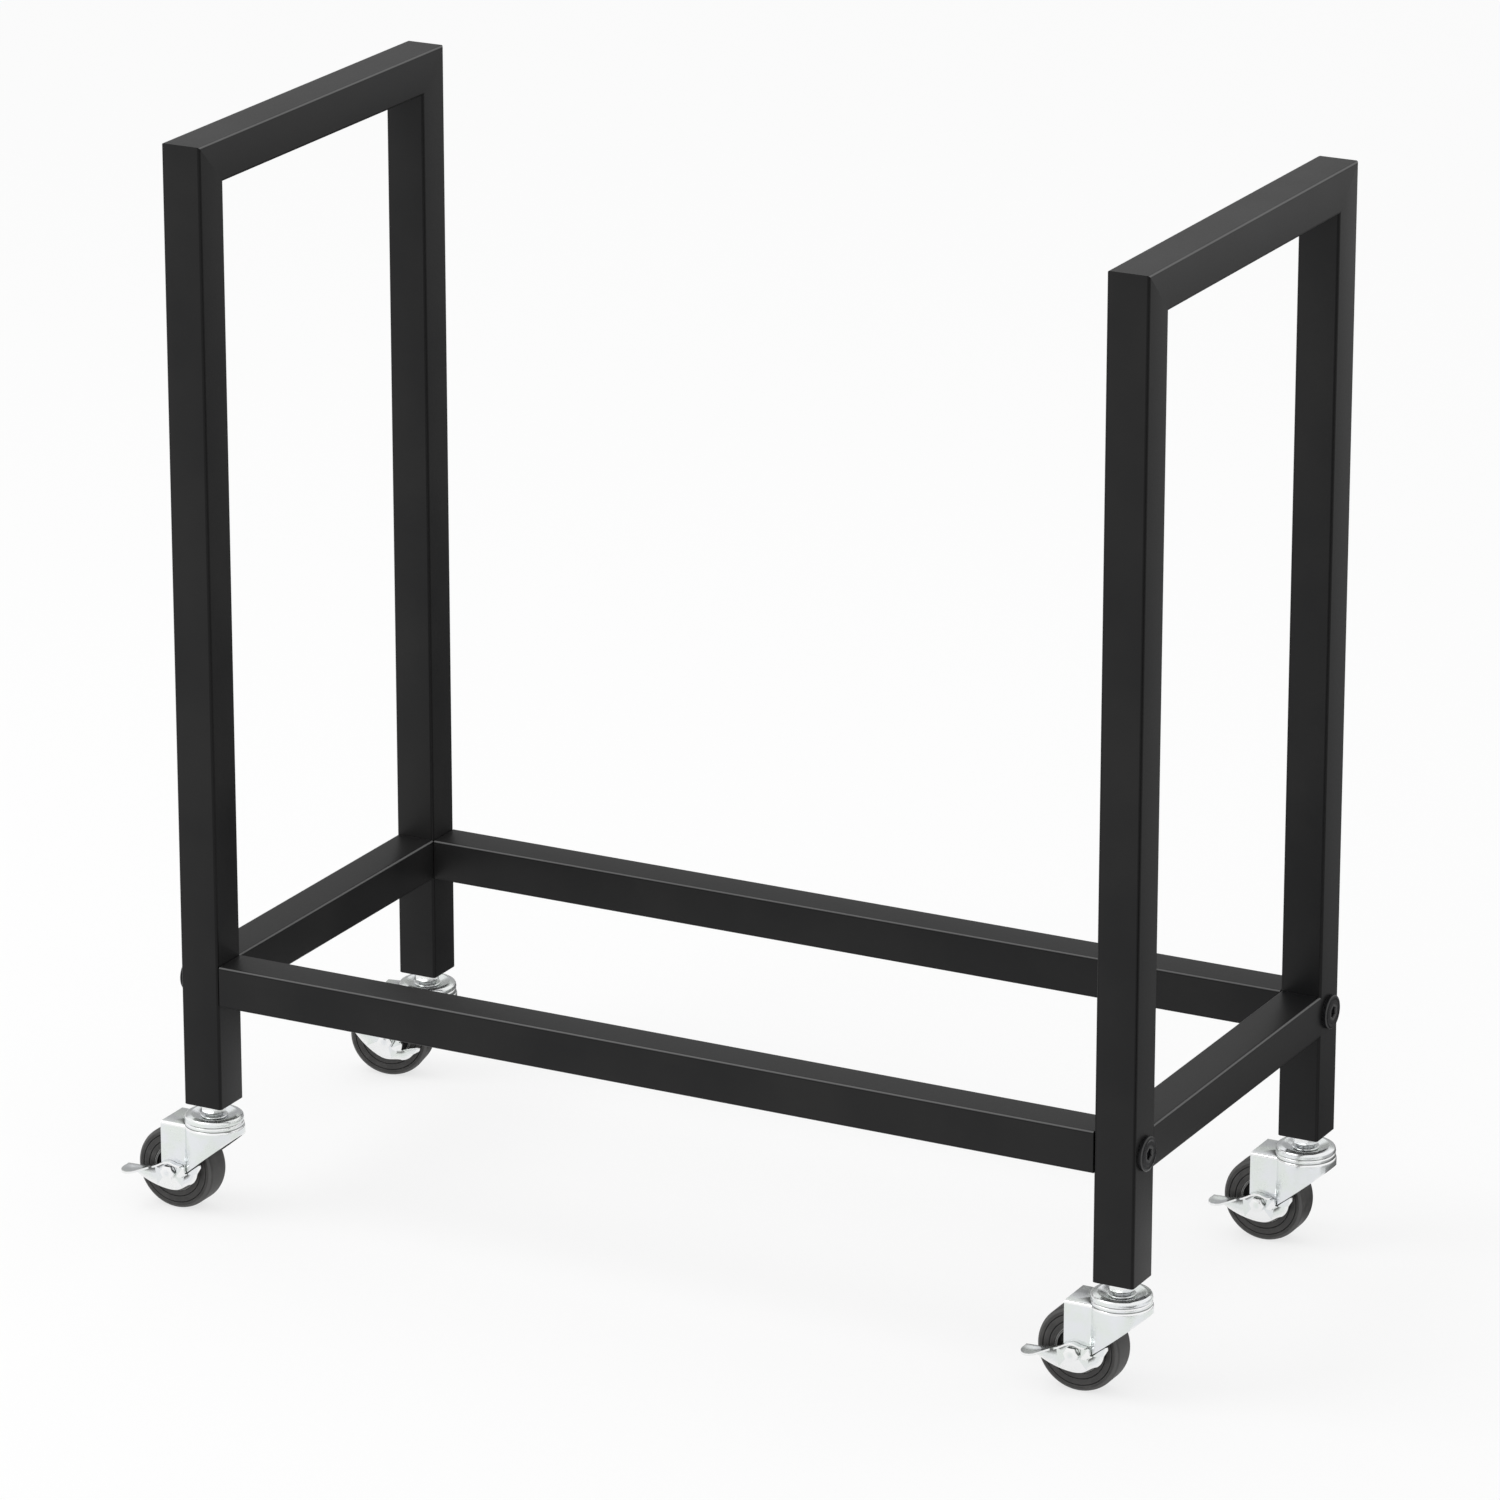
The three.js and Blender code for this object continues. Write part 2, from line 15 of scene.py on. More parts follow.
import bmesh
import bpy
from mathutils import Matrix, Vector


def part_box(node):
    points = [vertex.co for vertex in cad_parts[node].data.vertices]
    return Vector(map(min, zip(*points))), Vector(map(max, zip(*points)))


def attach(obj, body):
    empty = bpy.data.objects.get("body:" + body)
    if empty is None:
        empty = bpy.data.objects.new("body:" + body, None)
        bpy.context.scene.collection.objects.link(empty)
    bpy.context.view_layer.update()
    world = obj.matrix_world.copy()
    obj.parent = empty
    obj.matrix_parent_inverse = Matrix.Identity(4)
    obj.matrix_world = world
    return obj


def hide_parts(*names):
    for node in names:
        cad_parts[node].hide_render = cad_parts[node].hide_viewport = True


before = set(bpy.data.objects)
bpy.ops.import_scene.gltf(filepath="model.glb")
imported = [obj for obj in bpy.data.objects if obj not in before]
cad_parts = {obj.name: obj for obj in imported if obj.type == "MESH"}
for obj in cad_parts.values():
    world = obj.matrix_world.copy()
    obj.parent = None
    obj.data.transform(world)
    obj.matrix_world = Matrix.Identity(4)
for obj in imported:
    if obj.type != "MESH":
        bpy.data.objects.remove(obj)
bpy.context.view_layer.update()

MM = 0.001
HAIR = 1e-6
"""A length in millimetres that counts as none."""
RIGHT_ANGLE = math.radians(90)
SHARP_ANGLE = math.radians(38)
"""Where shading breaks between two faces."""
EDGE_MARK = "edge"
"""The mesh attribute that tells the finishes where rounded edges are."""
EDGE_SOFT, EDGE_FULL = 6, 15
"""The angles between faces, in degrees, at which the mark starts and is whole."""
EDGE_BREADTH = 1.6
"""The breadth of a face, in millimetres, from which it carries no mark."""

Point2 = tuple[float, float]
Point3 = tuple[float, float, float]
Colour = tuple[float, float, float]
Quad = tuple[Point3, Point3, Point3, Point3]
log = logging.getLogger("log_cart")


class Corner(Enum):
    """The four corners of the cart."""

    FRONT_LEFT = "front_left"
    FRONT_RIGHT = "front_right"
    REAR_RIGHT = "rear_right"
    REAR_LEFT = "rear_left"

    @property
    def along(self) -> int:
        """-1 at the left end of the cart, 1 at the right end."""
        return 1 if self.value.endswith("right") else -1

    @property
    def across(self) -> int:
        """-1 at the front of the cart, 1 at the rear."""
        return 1 if self.value.startswith("rear") else -1


class Slot(Enum):
    """The record's material slots."""

    POWDER_COAT = "powder_coat"
    BLACK_BOLT = "black_bolt"
    ZINC_PLATE = "zinc_plate"
    PLAIN_STEEL = "plain_steel"
    HUB_NYLON = "hub_nylon"
    TYRE_RUBBER = "tyre_rubber"


# ----------------------------------------------------------------- shader sums


class Socket:
    """An output of a shader node that joins sums as a number does."""

    def __init__(self, graph: "Graph", output: bpy.types.NodeSocket) -> None:
        """Keeps the graph and the output.

        Args:
            graph: The graph that the output's node belongs to.
            output: The output that this stands for.
        """
        self.graph = graph
        self.output = output

    def sum(self, operation: str, *values: "Socket | float") -> "Socket":
        """Adds a maths node of this socket's own type.

        Args:
            operation: The node's operation.
            values: What goes into its sockets, in order.

        Returns:
            The node's result.
        """
        many = self.output.type in {"VECTOR", "RGBA"}
        kind = "ShaderNodeVectorMath" if many else "ShaderNodeMath"
        return self.graph.node(kind, {"operation": operation}, dict(enumerate(values)))

    def __add__(self, other: "Socket | float") -> "Socket":
        """This plus the other."""
        return self.sum("ADD", self, other)

    def __radd__(self, other: float) -> "Socket":
        """The other plus this."""
        return self.sum("ADD", other, self)

    def __sub__(self, other: "Socket | float") -> "Socket":
        """This less the other."""
        return self.sum("SUBTRACT", self, other)

    def __rsub__(self, other: float) -> "Socket":
        """The other less this."""
        return self.sum("SUBTRACT", other, self)

    def __mul__(self, other: "Socket | float") -> "Socket":
        """This times the other."""
        return self.sum("MULTIPLY", self, other)

    def __rmul__(self, other: float) -> "Socket":
        """The other times this."""
        return self.sum("MULTIPLY", other, self)


class Graph:
    """The node tree of a material or of the world."""

    def __init__(self, owner: bpy.types.Material | bpy.types.World) -> None:
        """Empties the owner's node tree.

        Args:
            owner: The material or world that the nodes are for.
        """
        owner.use_nodes = True
        self.tree = owner.node_tree
        self.tree.nodes.clear()

    def node(
        self,
        kind: str,
        settings: Mapping[str, Any] | None = None,
        sockets: Mapping[str | int, Any] | None = None,
        output: str | int = 0,
    ) -> Socket | None:
        """Adds one node.

        Args:
            kind: The node's type.
            settings: Its settings, which are set first.
            sockets: The values or links of its inputs, by name or number.
            output: The output to return, by name or number.

        Returns:
            That output, or None where the node has none.
        """
        made = self.tree.nodes.new(kind)
        for name, value in (settings or {}).items():
            setattr(made, name, value)
        for name, value in (sockets or {}).items():
            if isinstance(value, Socket):
                self.tree.links.new(value.output, made.inputs[name])
            else:
                made.inputs[name].default_value = value
        return Socket(self, made.outputs[output]) if made.outputs else None

    def place(self) -> Socket:
        """The point on the surface, in the object's own metres."""
        return self.node("ShaderNodeTexCoord", output="Object")

    def edge(self) -> Socket:
        """How far a point lies on a rounded edge: 1 on it, 0 on a flat, -1 in a hollow."""
        return self.node("ShaderNodeAttribute", {"attribute_name": EDGE_MARK}, output="Fac")

    def facing_up(self) -> Socket:
        """How far a surface faces up: 1 on a top, 0 on a wall."""
        normal = self.node("ShaderNodeNewGeometry", output="Normal")
        return self.node("ShaderNodeSeparateXYZ", {}, {0: normal}, output="Z")

    def noise(self, per_metre: float, detail: float = 2, stretch: Colour = (1, 1, 1)) -> Socket:
        """Noise with its grains a set size.

        Args:
            per_metre: Grains to a metre.
            detail: How many finer layers it has.
            stretch: Grains to a metre along X, Y and Z, as shares of per_metre.

        Returns:
            The noise, about 0.5 on average.
        """
        point = self.node(
            "ShaderNodeVectorMath", {"operation": "MULTIPLY"}, {0: self.place(), 1: stretch}
        )
        sockets = {"Vector": point, "Scale": per_metre, "Detail": detail}
        return self.node("ShaderNodeTexNoise", {}, sockets)

    def spread(self, value: Socket, low: float, high: float, start: float, end: float) -> Socket:
        """Maps a value's stretch from low to high onto start to end, and holds it there."""
        sockets = {"Value": value, 1: low, 2: high, 3: start, 4: end}
        return self.node("ShaderNodeMapRange", {"clamp": True}, sockets)

    def mix(self, share: Socket | float, first: Any, second: Any) -> Socket:
        """Mixes two colours.

        Args:
            share: How much of the second there is.
            first: A colour or a colour socket.
            second: Another.

        Returns:
            The mixed colour.
        """
        made = {"data_type": "RGBA"}
        sockets = {0: share, 6: self.rgba(first), 7: self.rgba(second)}
        return self.node("ShaderNodeMix", made, sockets, output=2)

    @staticmethod
    def rgba(colour: Any) -> Any:
        """A plain colour with its alpha, or a socket as it is."""
        return colour if isinstance(colour, Socket) else (*colour, 1)

    def bump(self, height: Socket, depth: float, strength: float = 1) -> Socket:
        """The normal of a surface that a height raises by some depth in metres."""
        return self.node(
            "ShaderNodeBump", {}, {"Strength": strength, "Distance": depth, "Height": height}
        )

    def surface(self, **sockets: Any) -> None:
        """Ends a material in one principled surface.

        Args:
            sockets: The surface's inputs, with _ for each space in their names.
        """
        named = {name.replace("_", " "): value for name, value in sockets.items()}
        shader = self.node("ShaderNodeBsdfPrincipled", {}, named)
        self.node("ShaderNodeOutputMaterial", {}, {"Surface": shader})


# -------------------------------------------------------------------- finishes


@dataclass(frozen=True)
class Finish:
    """A procedural finish. Each kind says how its material is made."""

    name: str
    slot: Slot

    def dress(self, graph: Graph) -> None:
        """Makes the nodes of the finish."""
        raise NotImplementedError

    def material(self) -> bpy.types.Material:
        """The finish's material, which is made once."""
        found = bpy.data.materials.get(self.name)
        if found is None:
            found = bpy.data.materials.new(self.name)
            self.dress(Graph(found))
        return found


@dataclass(frozen=True)
class PowderCoat(Finish):
    """Satin black powder coat: a fine orange peel, with slight changes of tone."""

    dark: Colour = (0.0080, 0.0081, 0.0085)
    light: Colour = (0.0135, 0.0133, 0.0132)
    # Painted shade: the near-black laid on every rounded edge for its dark corner line.
    painted_edge_shade: Colour = (0.0020, 0.0020, 0.0021)
    # Painted highlight: the grey laid on rounded edges that lean up towards the softbox above.
    painted_edge_highlight: Colour = (0.110, 0.110, 0.110)
    roughness: float = 0.40
    gloss: float = 0.2
    peel_per_metre: float = 520
    peel_depth: float = 0.000035

    def dress(self, graph: Graph) -> None:
        """Makes the coat's nodes: painted shade darkens the rounded edges, and a painted
        highlight lightens those that lean up.
        """
        tone = graph.spread(graph.noise(14, 3), 0.35, 0.65, 0, 1)
        peel = graph.noise(self.peel_per_metre, 2)
        grain = graph.noise(self.peel_per_metre * 4, 1)
        ragged = graph.edge() + 0.4 * (graph.noise(240, 2) - 0.5)
        edge = graph.spread(ragged, 0.25, 0.75, 0, 1)
        level = graph.facing_up()
        # Painted highlight mask: whole on rounded edges that lean up, none on tops and walls.
        top_edge_highlight_share = graph.spread(level, 0.30, 0.60, 0, 1) * graph.spread(level, 0.98, 0.80, 0, 1)
        # Painted shade darkens every rounded edge.
        coat = graph.mix(0.85 * edge, graph.mix(tone, self.dark, self.light), self.painted_edge_shade)
        # Base Color below carries the painted highlight on the edges that lean up.
        graph.surface(
            Base_Color=graph.mix(edge * top_edge_highlight_share, coat, self.painted_edge_highlight),
            Roughness=self.roughness + 0.10 * (grain - 0.5) + 0.06 * (tone - 0.5),
            Specular_IOR_Level=self.gloss,
            Normal=graph.bump(peel + 0.35 * grain, self.peel_depth, 0.5),
        )


@dataclass(frozen=True)
class ZincPlate(Finish):
    """Bright zinc on pressed steel, with a faint cloud of tints and fine rubs."""

    cool: Colour = (0.80, 0.82, 0.84)
    green: Colour = (0.78, 0.82, 0.79)
    # Painted highlight: the near-white laid on rounded edges.
    painted_edge_highlight: Colour = (0.93, 0.93, 0.93)
    # Painted shade: the near-black laid in hollows and creases, such as under the lever's lip.
    painted_crease_shade: Colour = (0.045, 0.045, 0.042)
    roughness: float = 0.23

    def dress(self, graph: Graph) -> None:
        """Makes the plating's nodes: a painted highlight on rounded edges, and painted shade in
        hollows.
        """
        cloud = graph.spread(graph.noise(90, 3), 0.4, 0.62, 0, 1)
        rubs = graph.noise(260, 4, (1, 1, 6))
        grain = graph.noise(1800, 2)
        edge = graph.edge()
        # Share of painted highlight on the rounded edges.
        edge_highlight_share = graph.spread(edge + 0.4 * (rubs - 0.5), 0.2, 0.8, 0, 0.8)
        # Share of painted shade in the hollows; it also makes them rougher.
        crease_shade_share = graph.spread(edge + 0.5 * (grain - 0.5), -0.2, -0.8, 0, 0.85)
        plated = graph.mix(edge_highlight_share, graph.mix(cloud, self.cool, self.green), self.painted_edge_highlight)
        graph.surface(
            Base_Color=graph.mix(crease_shade_share, plated, self.painted_crease_shade),
            Metallic=1.0,
            Roughness=self.roughness + 0.14 * (rubs - 0.5) + 0.06 * (cloud - 0.5) + 0.25 * crease_shade_share,
            Normal=graph.bump(rubs + 0.5 * grain, 0.00002, 0.5),
        )


@dataclass(frozen=True)
class BlackBolt(Finish):
    """Black lacquered steel, smoother than the powder coat."""

    dark: Colour = (0.006, 0.006, 0.007)
    light: Colour = (0.012, 0.012, 0.013)
    # Painted highlight: the grey laid on the head's rounded rim.
    painted_edge_highlight: Colour = (0.075, 0.075, 0.075)
    roughness: float = 0.30
    gloss: float = 0.16

    def dress(self, graph: Graph) -> None:
        """Makes the lacquer's nodes: a painted highlight on the rim."""
        cloud = graph.spread(graph.noise(300, 3), 0.38, 0.66, 0, 1)
        grain = graph.noise(2400, 2)
        # Share of painted highlight on the rounded rim.
        edge_highlight_share = graph.spread(graph.edge() + 0.4 * (grain - 0.5), 0.4, 0.9, 0, 0.8)
        graph.surface(
            Base_Color=graph.mix(edge_highlight_share, graph.mix(cloud, self.dark, self.light), self.painted_edge_highlight),
            Roughness=self.roughness + 0.12 * (cloud - 0.5),
            Specular_IOR_Level=self.gloss,
            Normal=graph.bump(grain, 0.00002, 0.4),
        )


@dataclass(frozen=True)
class PlainSteel(Finish):
    """Bare turned steel under the covers, with a thin film of oil."""

    bright: Colour = (0.50, 0.50, 0.50)
    dull: Colour = (0.30, 0.29, 0.28)

    def dress(self, graph: Graph) -> None:
        """Makes the steel's nodes."""
        cloud = graph.spread(graph.noise(240, 4), 0.35, 0.68, 0, 1)
        turning = graph.noise(900, 2, (0.1, 0.1, 3))
        graph.surface(
            Base_Color=graph.mix(cloud, self.bright, self.dull),
            Metallic=1.0,
            Roughness=0.34 + 0.22 * (cloud - 0.5),
            Normal=graph.bump(turning, 0.00003, 0.4),
        )


@dataclass(frozen=True)
class Moulded(Finish):
    """Moulded rubber or nylon: a matt skin with a fine grain and a little dust."""

    dark: Colour = (0.030, 0.029, 0.028)
    light: Colour = (0.062, 0.060, 0.058)
    # Painted highlight: the lighter colour laid on rounded edges.
    painted_edge_highlight: Colour = (0.085, 0.084, 0.082)
    roughness: float = 0.58
    grain_depth: float = 0.00004

    def dress(self, graph: Graph) -> None:
        """Makes the moulding's nodes: a painted highlight on rounded edges, and painted shade in
        hollows such as the tyre's rings.
        """
        dust = graph.spread(graph.noise(160, 5), 0.42, 0.72, 0, 1)
        grain = graph.noise(3200, 2)
        edge = graph.edge()
        # Share of painted highlight on the rounded edges.
        edge_highlight_share = graph.spread(edge + 0.4 * (grain - 0.5), 0.2, 0.8, 0, 0.8)
        # Share of painted shade in the hollows.
        hollow = graph.spread(edge, -0.2, -0.9, 0, 0.85)
        skin = graph.mix(edge_highlight_share, graph.mix(dust, self.dark, self.light), self.painted_edge_highlight)
        # The near-black below is painted shade in the hollows, such as the tyre's ring grooves.
        graph.surface(
            Base_Color=graph.mix(hollow, skin, (0.006, 0.006, 0.006)),
            Roughness=self.roughness + 0.16 * (dust - 0.4),
            Normal=graph.bump(grain, self.grain_depth, 0.5),
        )


POWDER_COAT = PowderCoat("satin_black_powder_coat", Slot.POWDER_COAT)
BLACK_BOLT = BlackBolt("black_lacquered_bolt", Slot.BLACK_BOLT)
ZINC_PLATE = ZincPlate("bright_zinc_plate", Slot.ZINC_PLATE)
PLAIN_STEEL = PlainSteel("plain_turned_steel", Slot.PLAIN_STEEL)
TYRE_RUBBER = Moulded("grey_tyre_rubber", Slot.TYRE_RUBBER)
HUB_NYLON = Moulded(
    "black_hub_nylon",
    Slot.HUB_NYLON,
    dark=(0.018, 0.018, 0.018),
    light=(0.040, 0.040, 0.040),
    # Painted highlight: a pale grey on the hub's rounded edges, for the light ring round its rim.
    painted_edge_highlight=(0.42, 0.42, 0.41),
    roughness=0.40,
    grain_depth=0.00002,
)


# --------------------------------------------------------------- plane outlines


def polar(radius: float, degrees: float, centre: Point2 = (0, 0)) -> Point2:
    """The point at a distance and an angle from a centre."""
    turn = math.radians(degrees)
    return centre[0] + radius * math.cos(turn), centre[1] + radius * math.sin(turn)


def arc(centre: Point2, radius: float, start: float, end: float, steps: int) -> list[Point2]:
    """Points along a round stretch, from one angle in degrees to another."""
    return [
        polar(radius, start + (end - start) * step / steps, centre) for step in range(steps + 1)
    ]


def bezier(controls: Sequence[Point2], steps: int) -> list[Point2]:
    """Points along a curve with any number of control points.

    Args:
        controls: The curve's ends, with its control points between them.
        steps: How many stretches it is cut into.

    Returns:
        The points, ends included.
    """
    points = []
    for step in range(steps + 1):
        share = step / steps
        level = [Vector(point) for point in controls]
        while len(level) > 1:
            level = [a.lerp(b, share) for a, b in zip(level, level[1:])]
        points.append((level[0].x, level[0].y))
    return points


def filleted(
    corners: Sequence[tuple[float, ...]], steps: int = 5, closed: bool = True
) -> list[Point2]:
    """Rounds the corners of an outline.

    Args:
        corners: Each corner's place, and the radius that it is rounded to, if any.
        steps: How many stretches each round corner is cut into.
        closed: Whether the outline joins up. An open one keeps its two ends.

    Returns:
        The outline's points.
    """
    points: list[Point2] = []
    count = len(corners)
    for index, (x, y, *radius) in enumerate(corners):
        here = Vector((x, y))
        end = not closed and index in (0, count - 1)
        if end or not radius or radius[0] <= 0:
            points.append((x, y))
            continue
        before = Vector(corners[index - 1][:2]) - here
        after = Vector(corners[(index + 1) % count][:2]) - here
        half = before.angle(after) / 2
        if half > math.radians(89):
            points.append((x, y))
            continue
        room = min(before.length, after.length) * 0.5
        reach = min(radius[0] / math.tan(half), room)
        start, stop = here + before.normalized() * reach, here + after.normalized() * reach
        centre = here + (before.normalized() + after.normalized()).normalized() * (
            reach / math.cos(half)
        )
        first, last = start - centre, stop - centre
        sweep = first.angle_signed(last)
        for step in range(steps + 1):
            turned = first.copy()
            turned.rotate(Matrix.Rotation(-sweep * step / steps, 2))
            points.append((centre.x + turned.x, centre.y + turned.y))
    return points


def inset(outline: Sequence[Point2], distance: float) -> list[Point2]:
    """An outline moved inwards along its own normals.

    Args:
        outline: A closed outline that runs anticlockwise.
        distance: How far each edge moves.

    Returns:
        As many points as the outline has.
    """
    points = []
    count = len(outline)
    for index in range(count):
        here = Vector(outline[index])
        back = (here - Vector(outline[index - 1])).normalized()
        ahead = (Vector(outline[(index + 1) % count]) - here).normalized()
        normal = Vector((-back.y - ahead.y, back.x + ahead.x))
        if normal.length < 1e-6:
            normal = Vector((-back.y, back.x))
        normal.normalize()
        lean = max(normal.dot(Vector((-back.y, back.x))), 0.5)
        moved = here + normal * (distance / lean)
        points.append((moved.x, moved.y))
    return points


def anticlockwise(outline: Sequence[Point2]) -> list[Point2]:
    """The outline, turned round if it runs clockwise."""
    ahead = [*outline[1:], outline[0]]
    area = sum(a[0] * b[1] - b[0] * a[1] for a, b in zip(outline, ahead))
    return list(outline) if area > 0 else list(reversed(outline))


# ----------------------------------------------------------------- mesh drafts


@dataclass
class Draft:
    """Points and faces of closed bodies, in millimetres, before they are an object."""

    points: list[Vector] = field(default_factory=list)
    faces: list[tuple[int, ...]] = field(default_factory=list)

    def __add__(self, other: "Draft") -> "Draft":
        """Both drafts as one."""
        start = len(self.points)
        moved = [tuple(start + index for index in face) for face in other.faces]
        return Draft([*self.points, *other.points], [*self.faces, *moved])

    def moved(self, matrix: Matrix) -> "Draft":
        """The draft in another place."""
        return Draft([matrix @ point for point in self.points], list(self.faces))

    def mesh(self, name: str) -> bpy.types.Mesh:
        """The draft as a mesh with its faces outwards."""
        made = bpy.data.meshes.new(name)
        made.from_pydata([tuple(point) for point in self.points], [], self.faces)
        work = bmesh.new()
        work.from_mesh(made)
        bmesh.ops.remove_doubles(work, verts=work.verts, dist=1e-4)
        bmesh.ops.dissolve_degenerate(work, edges=work.edges, dist=1e-5)
        bmesh.ops.recalc_face_normals(work, faces=work.faces)
        work.to_mesh(made)
        work.free()
        return made


def loft(rows: Sequence[Sequence[Vector]], joined: bool = False, capped: bool = True) -> Draft:
    """A skin over closed rings of as many points each.

    Args:
        rows: The rings, in order.
        joined: Whether the last ring joins the first.
        capped: Whether the first and last rings are filled, where they aren't joined.

    Returns:
        The skin.
    """
    count = len(rows[0])
    points = [Vector(point) for row in rows for point in row]
    faces: list[tuple[int, ...]] = []
    pairs = len(rows) if joined else len(rows) - 1
    for row in range(pairs):
        low, high = row * count, ((row + 1) % len(rows)) * count
        for index in range(count):
            ahead = (index + 1) % count
            faces.append((low + index, low + ahead, high + ahead, high + index))
    if capped and not joined:
        last = (len(rows) - 1) * count
        faces.append(tuple(reversed(range(count))))
        faces.append(tuple(range(last, last + count)))
    return Draft(points, faces)


def ring_of(radii: Sequence[float], heights: Sequence[float]) -> list[Vector]:
    """A ring of points about Z, evenly spaced, with their own radii and heights."""
    count = len(radii)
    return [
        Vector((*polar(radius, 360 * step / count), height))
        for step, (radius, height) in enumerate(zip(radii, heights))
    ]


def level_ring(radius: float, height: float, steps: int) -> list[Vector]:
    """A round ring about Z. One on the axis keeps a hair's radius."""
    return ring_of([max(radius, HAIR)] * steps, [height] * steps)


def turned(profile: Sequence[Point2], steps: int, joined: bool = False) -> Draft:
    """A profile of [radius, height] points turned about Z.

    Args:
        profile: The points. One that starts and ends on the axis is a solid.
        steps: How many stretches a full turn is cut into.
        joined: Whether the profile is a closed loop, as a ring's is.

    Returns:
        The turned body.
    """
    rows = [level_ring(radius, height, steps) for radius, height in profile]
    return loft(rows, joined=joined, capped=False)


def plate(
    outline: Sequence[Point2],
    low: float,
    high: float,
    edge: float = 0.2,
    holes: Sequence[Sequence[Point2]] = (),
    both: bool = True,
) -> Draft:
    """A flat plate from its outline, with round edges.

    Args:
        outline: The outline in X and Y.
        low: Its lower face.
        high: Its upper face.
        edge: The radius of the edges round its faces.
        holes: Outlines of the holes through it.
        both: Whether the lower edge is round too.

    Returns:
        The plate.
    """
    arcs = [(0.0, 0.0)] if edge <= 0 else [
        (edge * (1 - math.sin(turn)), edge * (1 - math.cos(turn)))
        for turn in (math.radians(30 * step) for step in range(4))
    ]
    levels = [(shift, high - drop) for shift, drop in arcs]
    lower = [(shift, low + drop) for shift, drop in arcs] if both else [(0.0, low)]
    levels += list(reversed(lower))
    loops = [anticlockwise(outline), *[list(reversed(anticlockwise(hole))) for hole in holes]]
    skin, rims = Draft(), []
    for loop in loops:
        rows = [
            [Vector((x, y, z)) for x, y in inset(loop, shift)] for shift, z in levels
        ]
        skin = skin + loft(rows, capped=False)
        rims.append(rows)
    for end in (0, -1):
        skin = skin + filled([rows[end] for rows in rims])
    return skin


def filled(loops: Sequence[Sequence[Vector]]) -> Draft:
    """A flat face inside one loop and outside the others.

    Args:
        loops: The outer loop and those of the holes.

    Returns:
        The face, cut into triangles where it has holes.
    """
    work = bmesh.new()
    edges = []
    for loop in loops:
        verts = [work.verts.new(point) for point in loop]
        edges += [
            work.edges.new((vert, verts[(index + 1) % len(verts)]))
            for index, vert in enumerate(verts)
        ]
    bmesh.ops.triangle_fill(work, use_beauty=True, use_dissolve=False, edges=edges)
    work.verts.index_update()
    made = Draft(
        [vert.co.copy() for vert in work.verts],
        [tuple(vert.index for vert in face.verts) for face in work.faces],
    )
    work.free()
    return made


def slab(grid: Sequence[Sequence[Vector]], thickness: float) -> Draft:
    """A sheet of even thickness under a grid of points.

    Args:
        grid: Rows of points on the upper face.
        thickness: How far the lower face lies below it, along Z.

    Returns:
        The sheet, closed at its sides.
    """
    down = Vector((0, 0, -thickness))
    rows, columns = len(grid), len(grid[0])
    upper = [point for row in grid for point in row]
    points = [*upper, *[point + down for point in upper]]
    below = rows * columns
    faces: list[tuple[int, ...]] = []
    for row in range(rows - 1):
        for column in range(columns - 1):
            a = row * columns + column
            face = (a, a + 1, a + columns + 1, a + columns)
            faces.append(face)
            faces.append(tuple(below + index for index in reversed(face)))
    rim = [
        *range(columns),
        *[row * columns + columns - 1 for row in range(1, rows)],
        *reversed(range((rows - 1) * columns, rows * columns - 1)),
        *[row * columns for row in range(rows - 2, 0, -1)],
    ]
    for index, ahead in zip(rim, [*rim[1:], rim[0]]):
        faces.append((index, ahead, below + ahead, below + index))
    return Draft(points, faces)


HEXAGON_STEPS = 72
"""How many points a hexagon's ring has, so that its corners lie on some."""
HEXAGON_EASE = 1.135
"""How far a hexagon's eased corners reach, as a share of half its flats."""
CONE_SLOPE = math.tan(math.radians(30))


def hexagon_reaches(half: float) -> list[float]:
    """How far each point of a hexagon's ring lies from its axis, from half its flats."""
    turns = ((360 * step / HEXAGON_STEPS) % 60 - 30 for step in range(HEXAGON_STEPS))
    return [half / math.cos(math.radians(turn)) for turn in turns]


def hexagon_body(flats: float, low: float, high: float, bore: float, ends: Point2) -> Draft:
    """A hexagon with its corners turned down to a cone, as a nut's or a bolt's head.

    Args:
        flats: Its size across the flats.
        low: Its lower face.
        high: Its upper face.
        bore: The radius of the hole through it, or 0.
        ends: How far the lower and the upper cone run in from the flats.

    Returns:
        The body.
    """
    half = flats / 2
    reaches = [min(reach, half * HEXAGON_EASE) for reach in hexagon_reaches(half)]
    rows = []
    for cone, face, sign in ((ends[0], low, 1), (ends[1], high, -1)):
        inner = half - cone
        side = ring_of(reaches, [face + sign * (reach - inner) * CONE_SLOPE for reach in reaches])
        top = level_ring(inner, face, HEXAGON_STEPS)
        rows += [top, side] if sign > 0 else [side, top]
    if bore > 0:
        rows += [level_ring(bore, face, HEXAGON_STEPS) for face in (high, low)]
        return loft(rows, joined=True)
    centre, crown = ([Vector((0, 0, face))] * HEXAGON_STEPS for face in (low, high))
    return loft([centre, *rows, crown], capped=False)


def square_ring(size: float, radius: float, steps: int = 6) -> list[Point2]:
    """A square with round corners, anticlockwise."""
    far = size / 2 - radius
    centres = ((far, -far, -90), (far, far, 0), (-far, far, 90), (-far, -far, 180))
    return [
        point
        for x, y, start in centres
        for point in arc((x, y), radius, start, start + 90, steps)
    ]


# ------------------------------------------------------------ objects and pieces


TIP_Y = Matrix.Rotation(RIGHT_ANGLE, 4, "X")
"""Turns what is drawn about Z so that its Z points along -Y."""


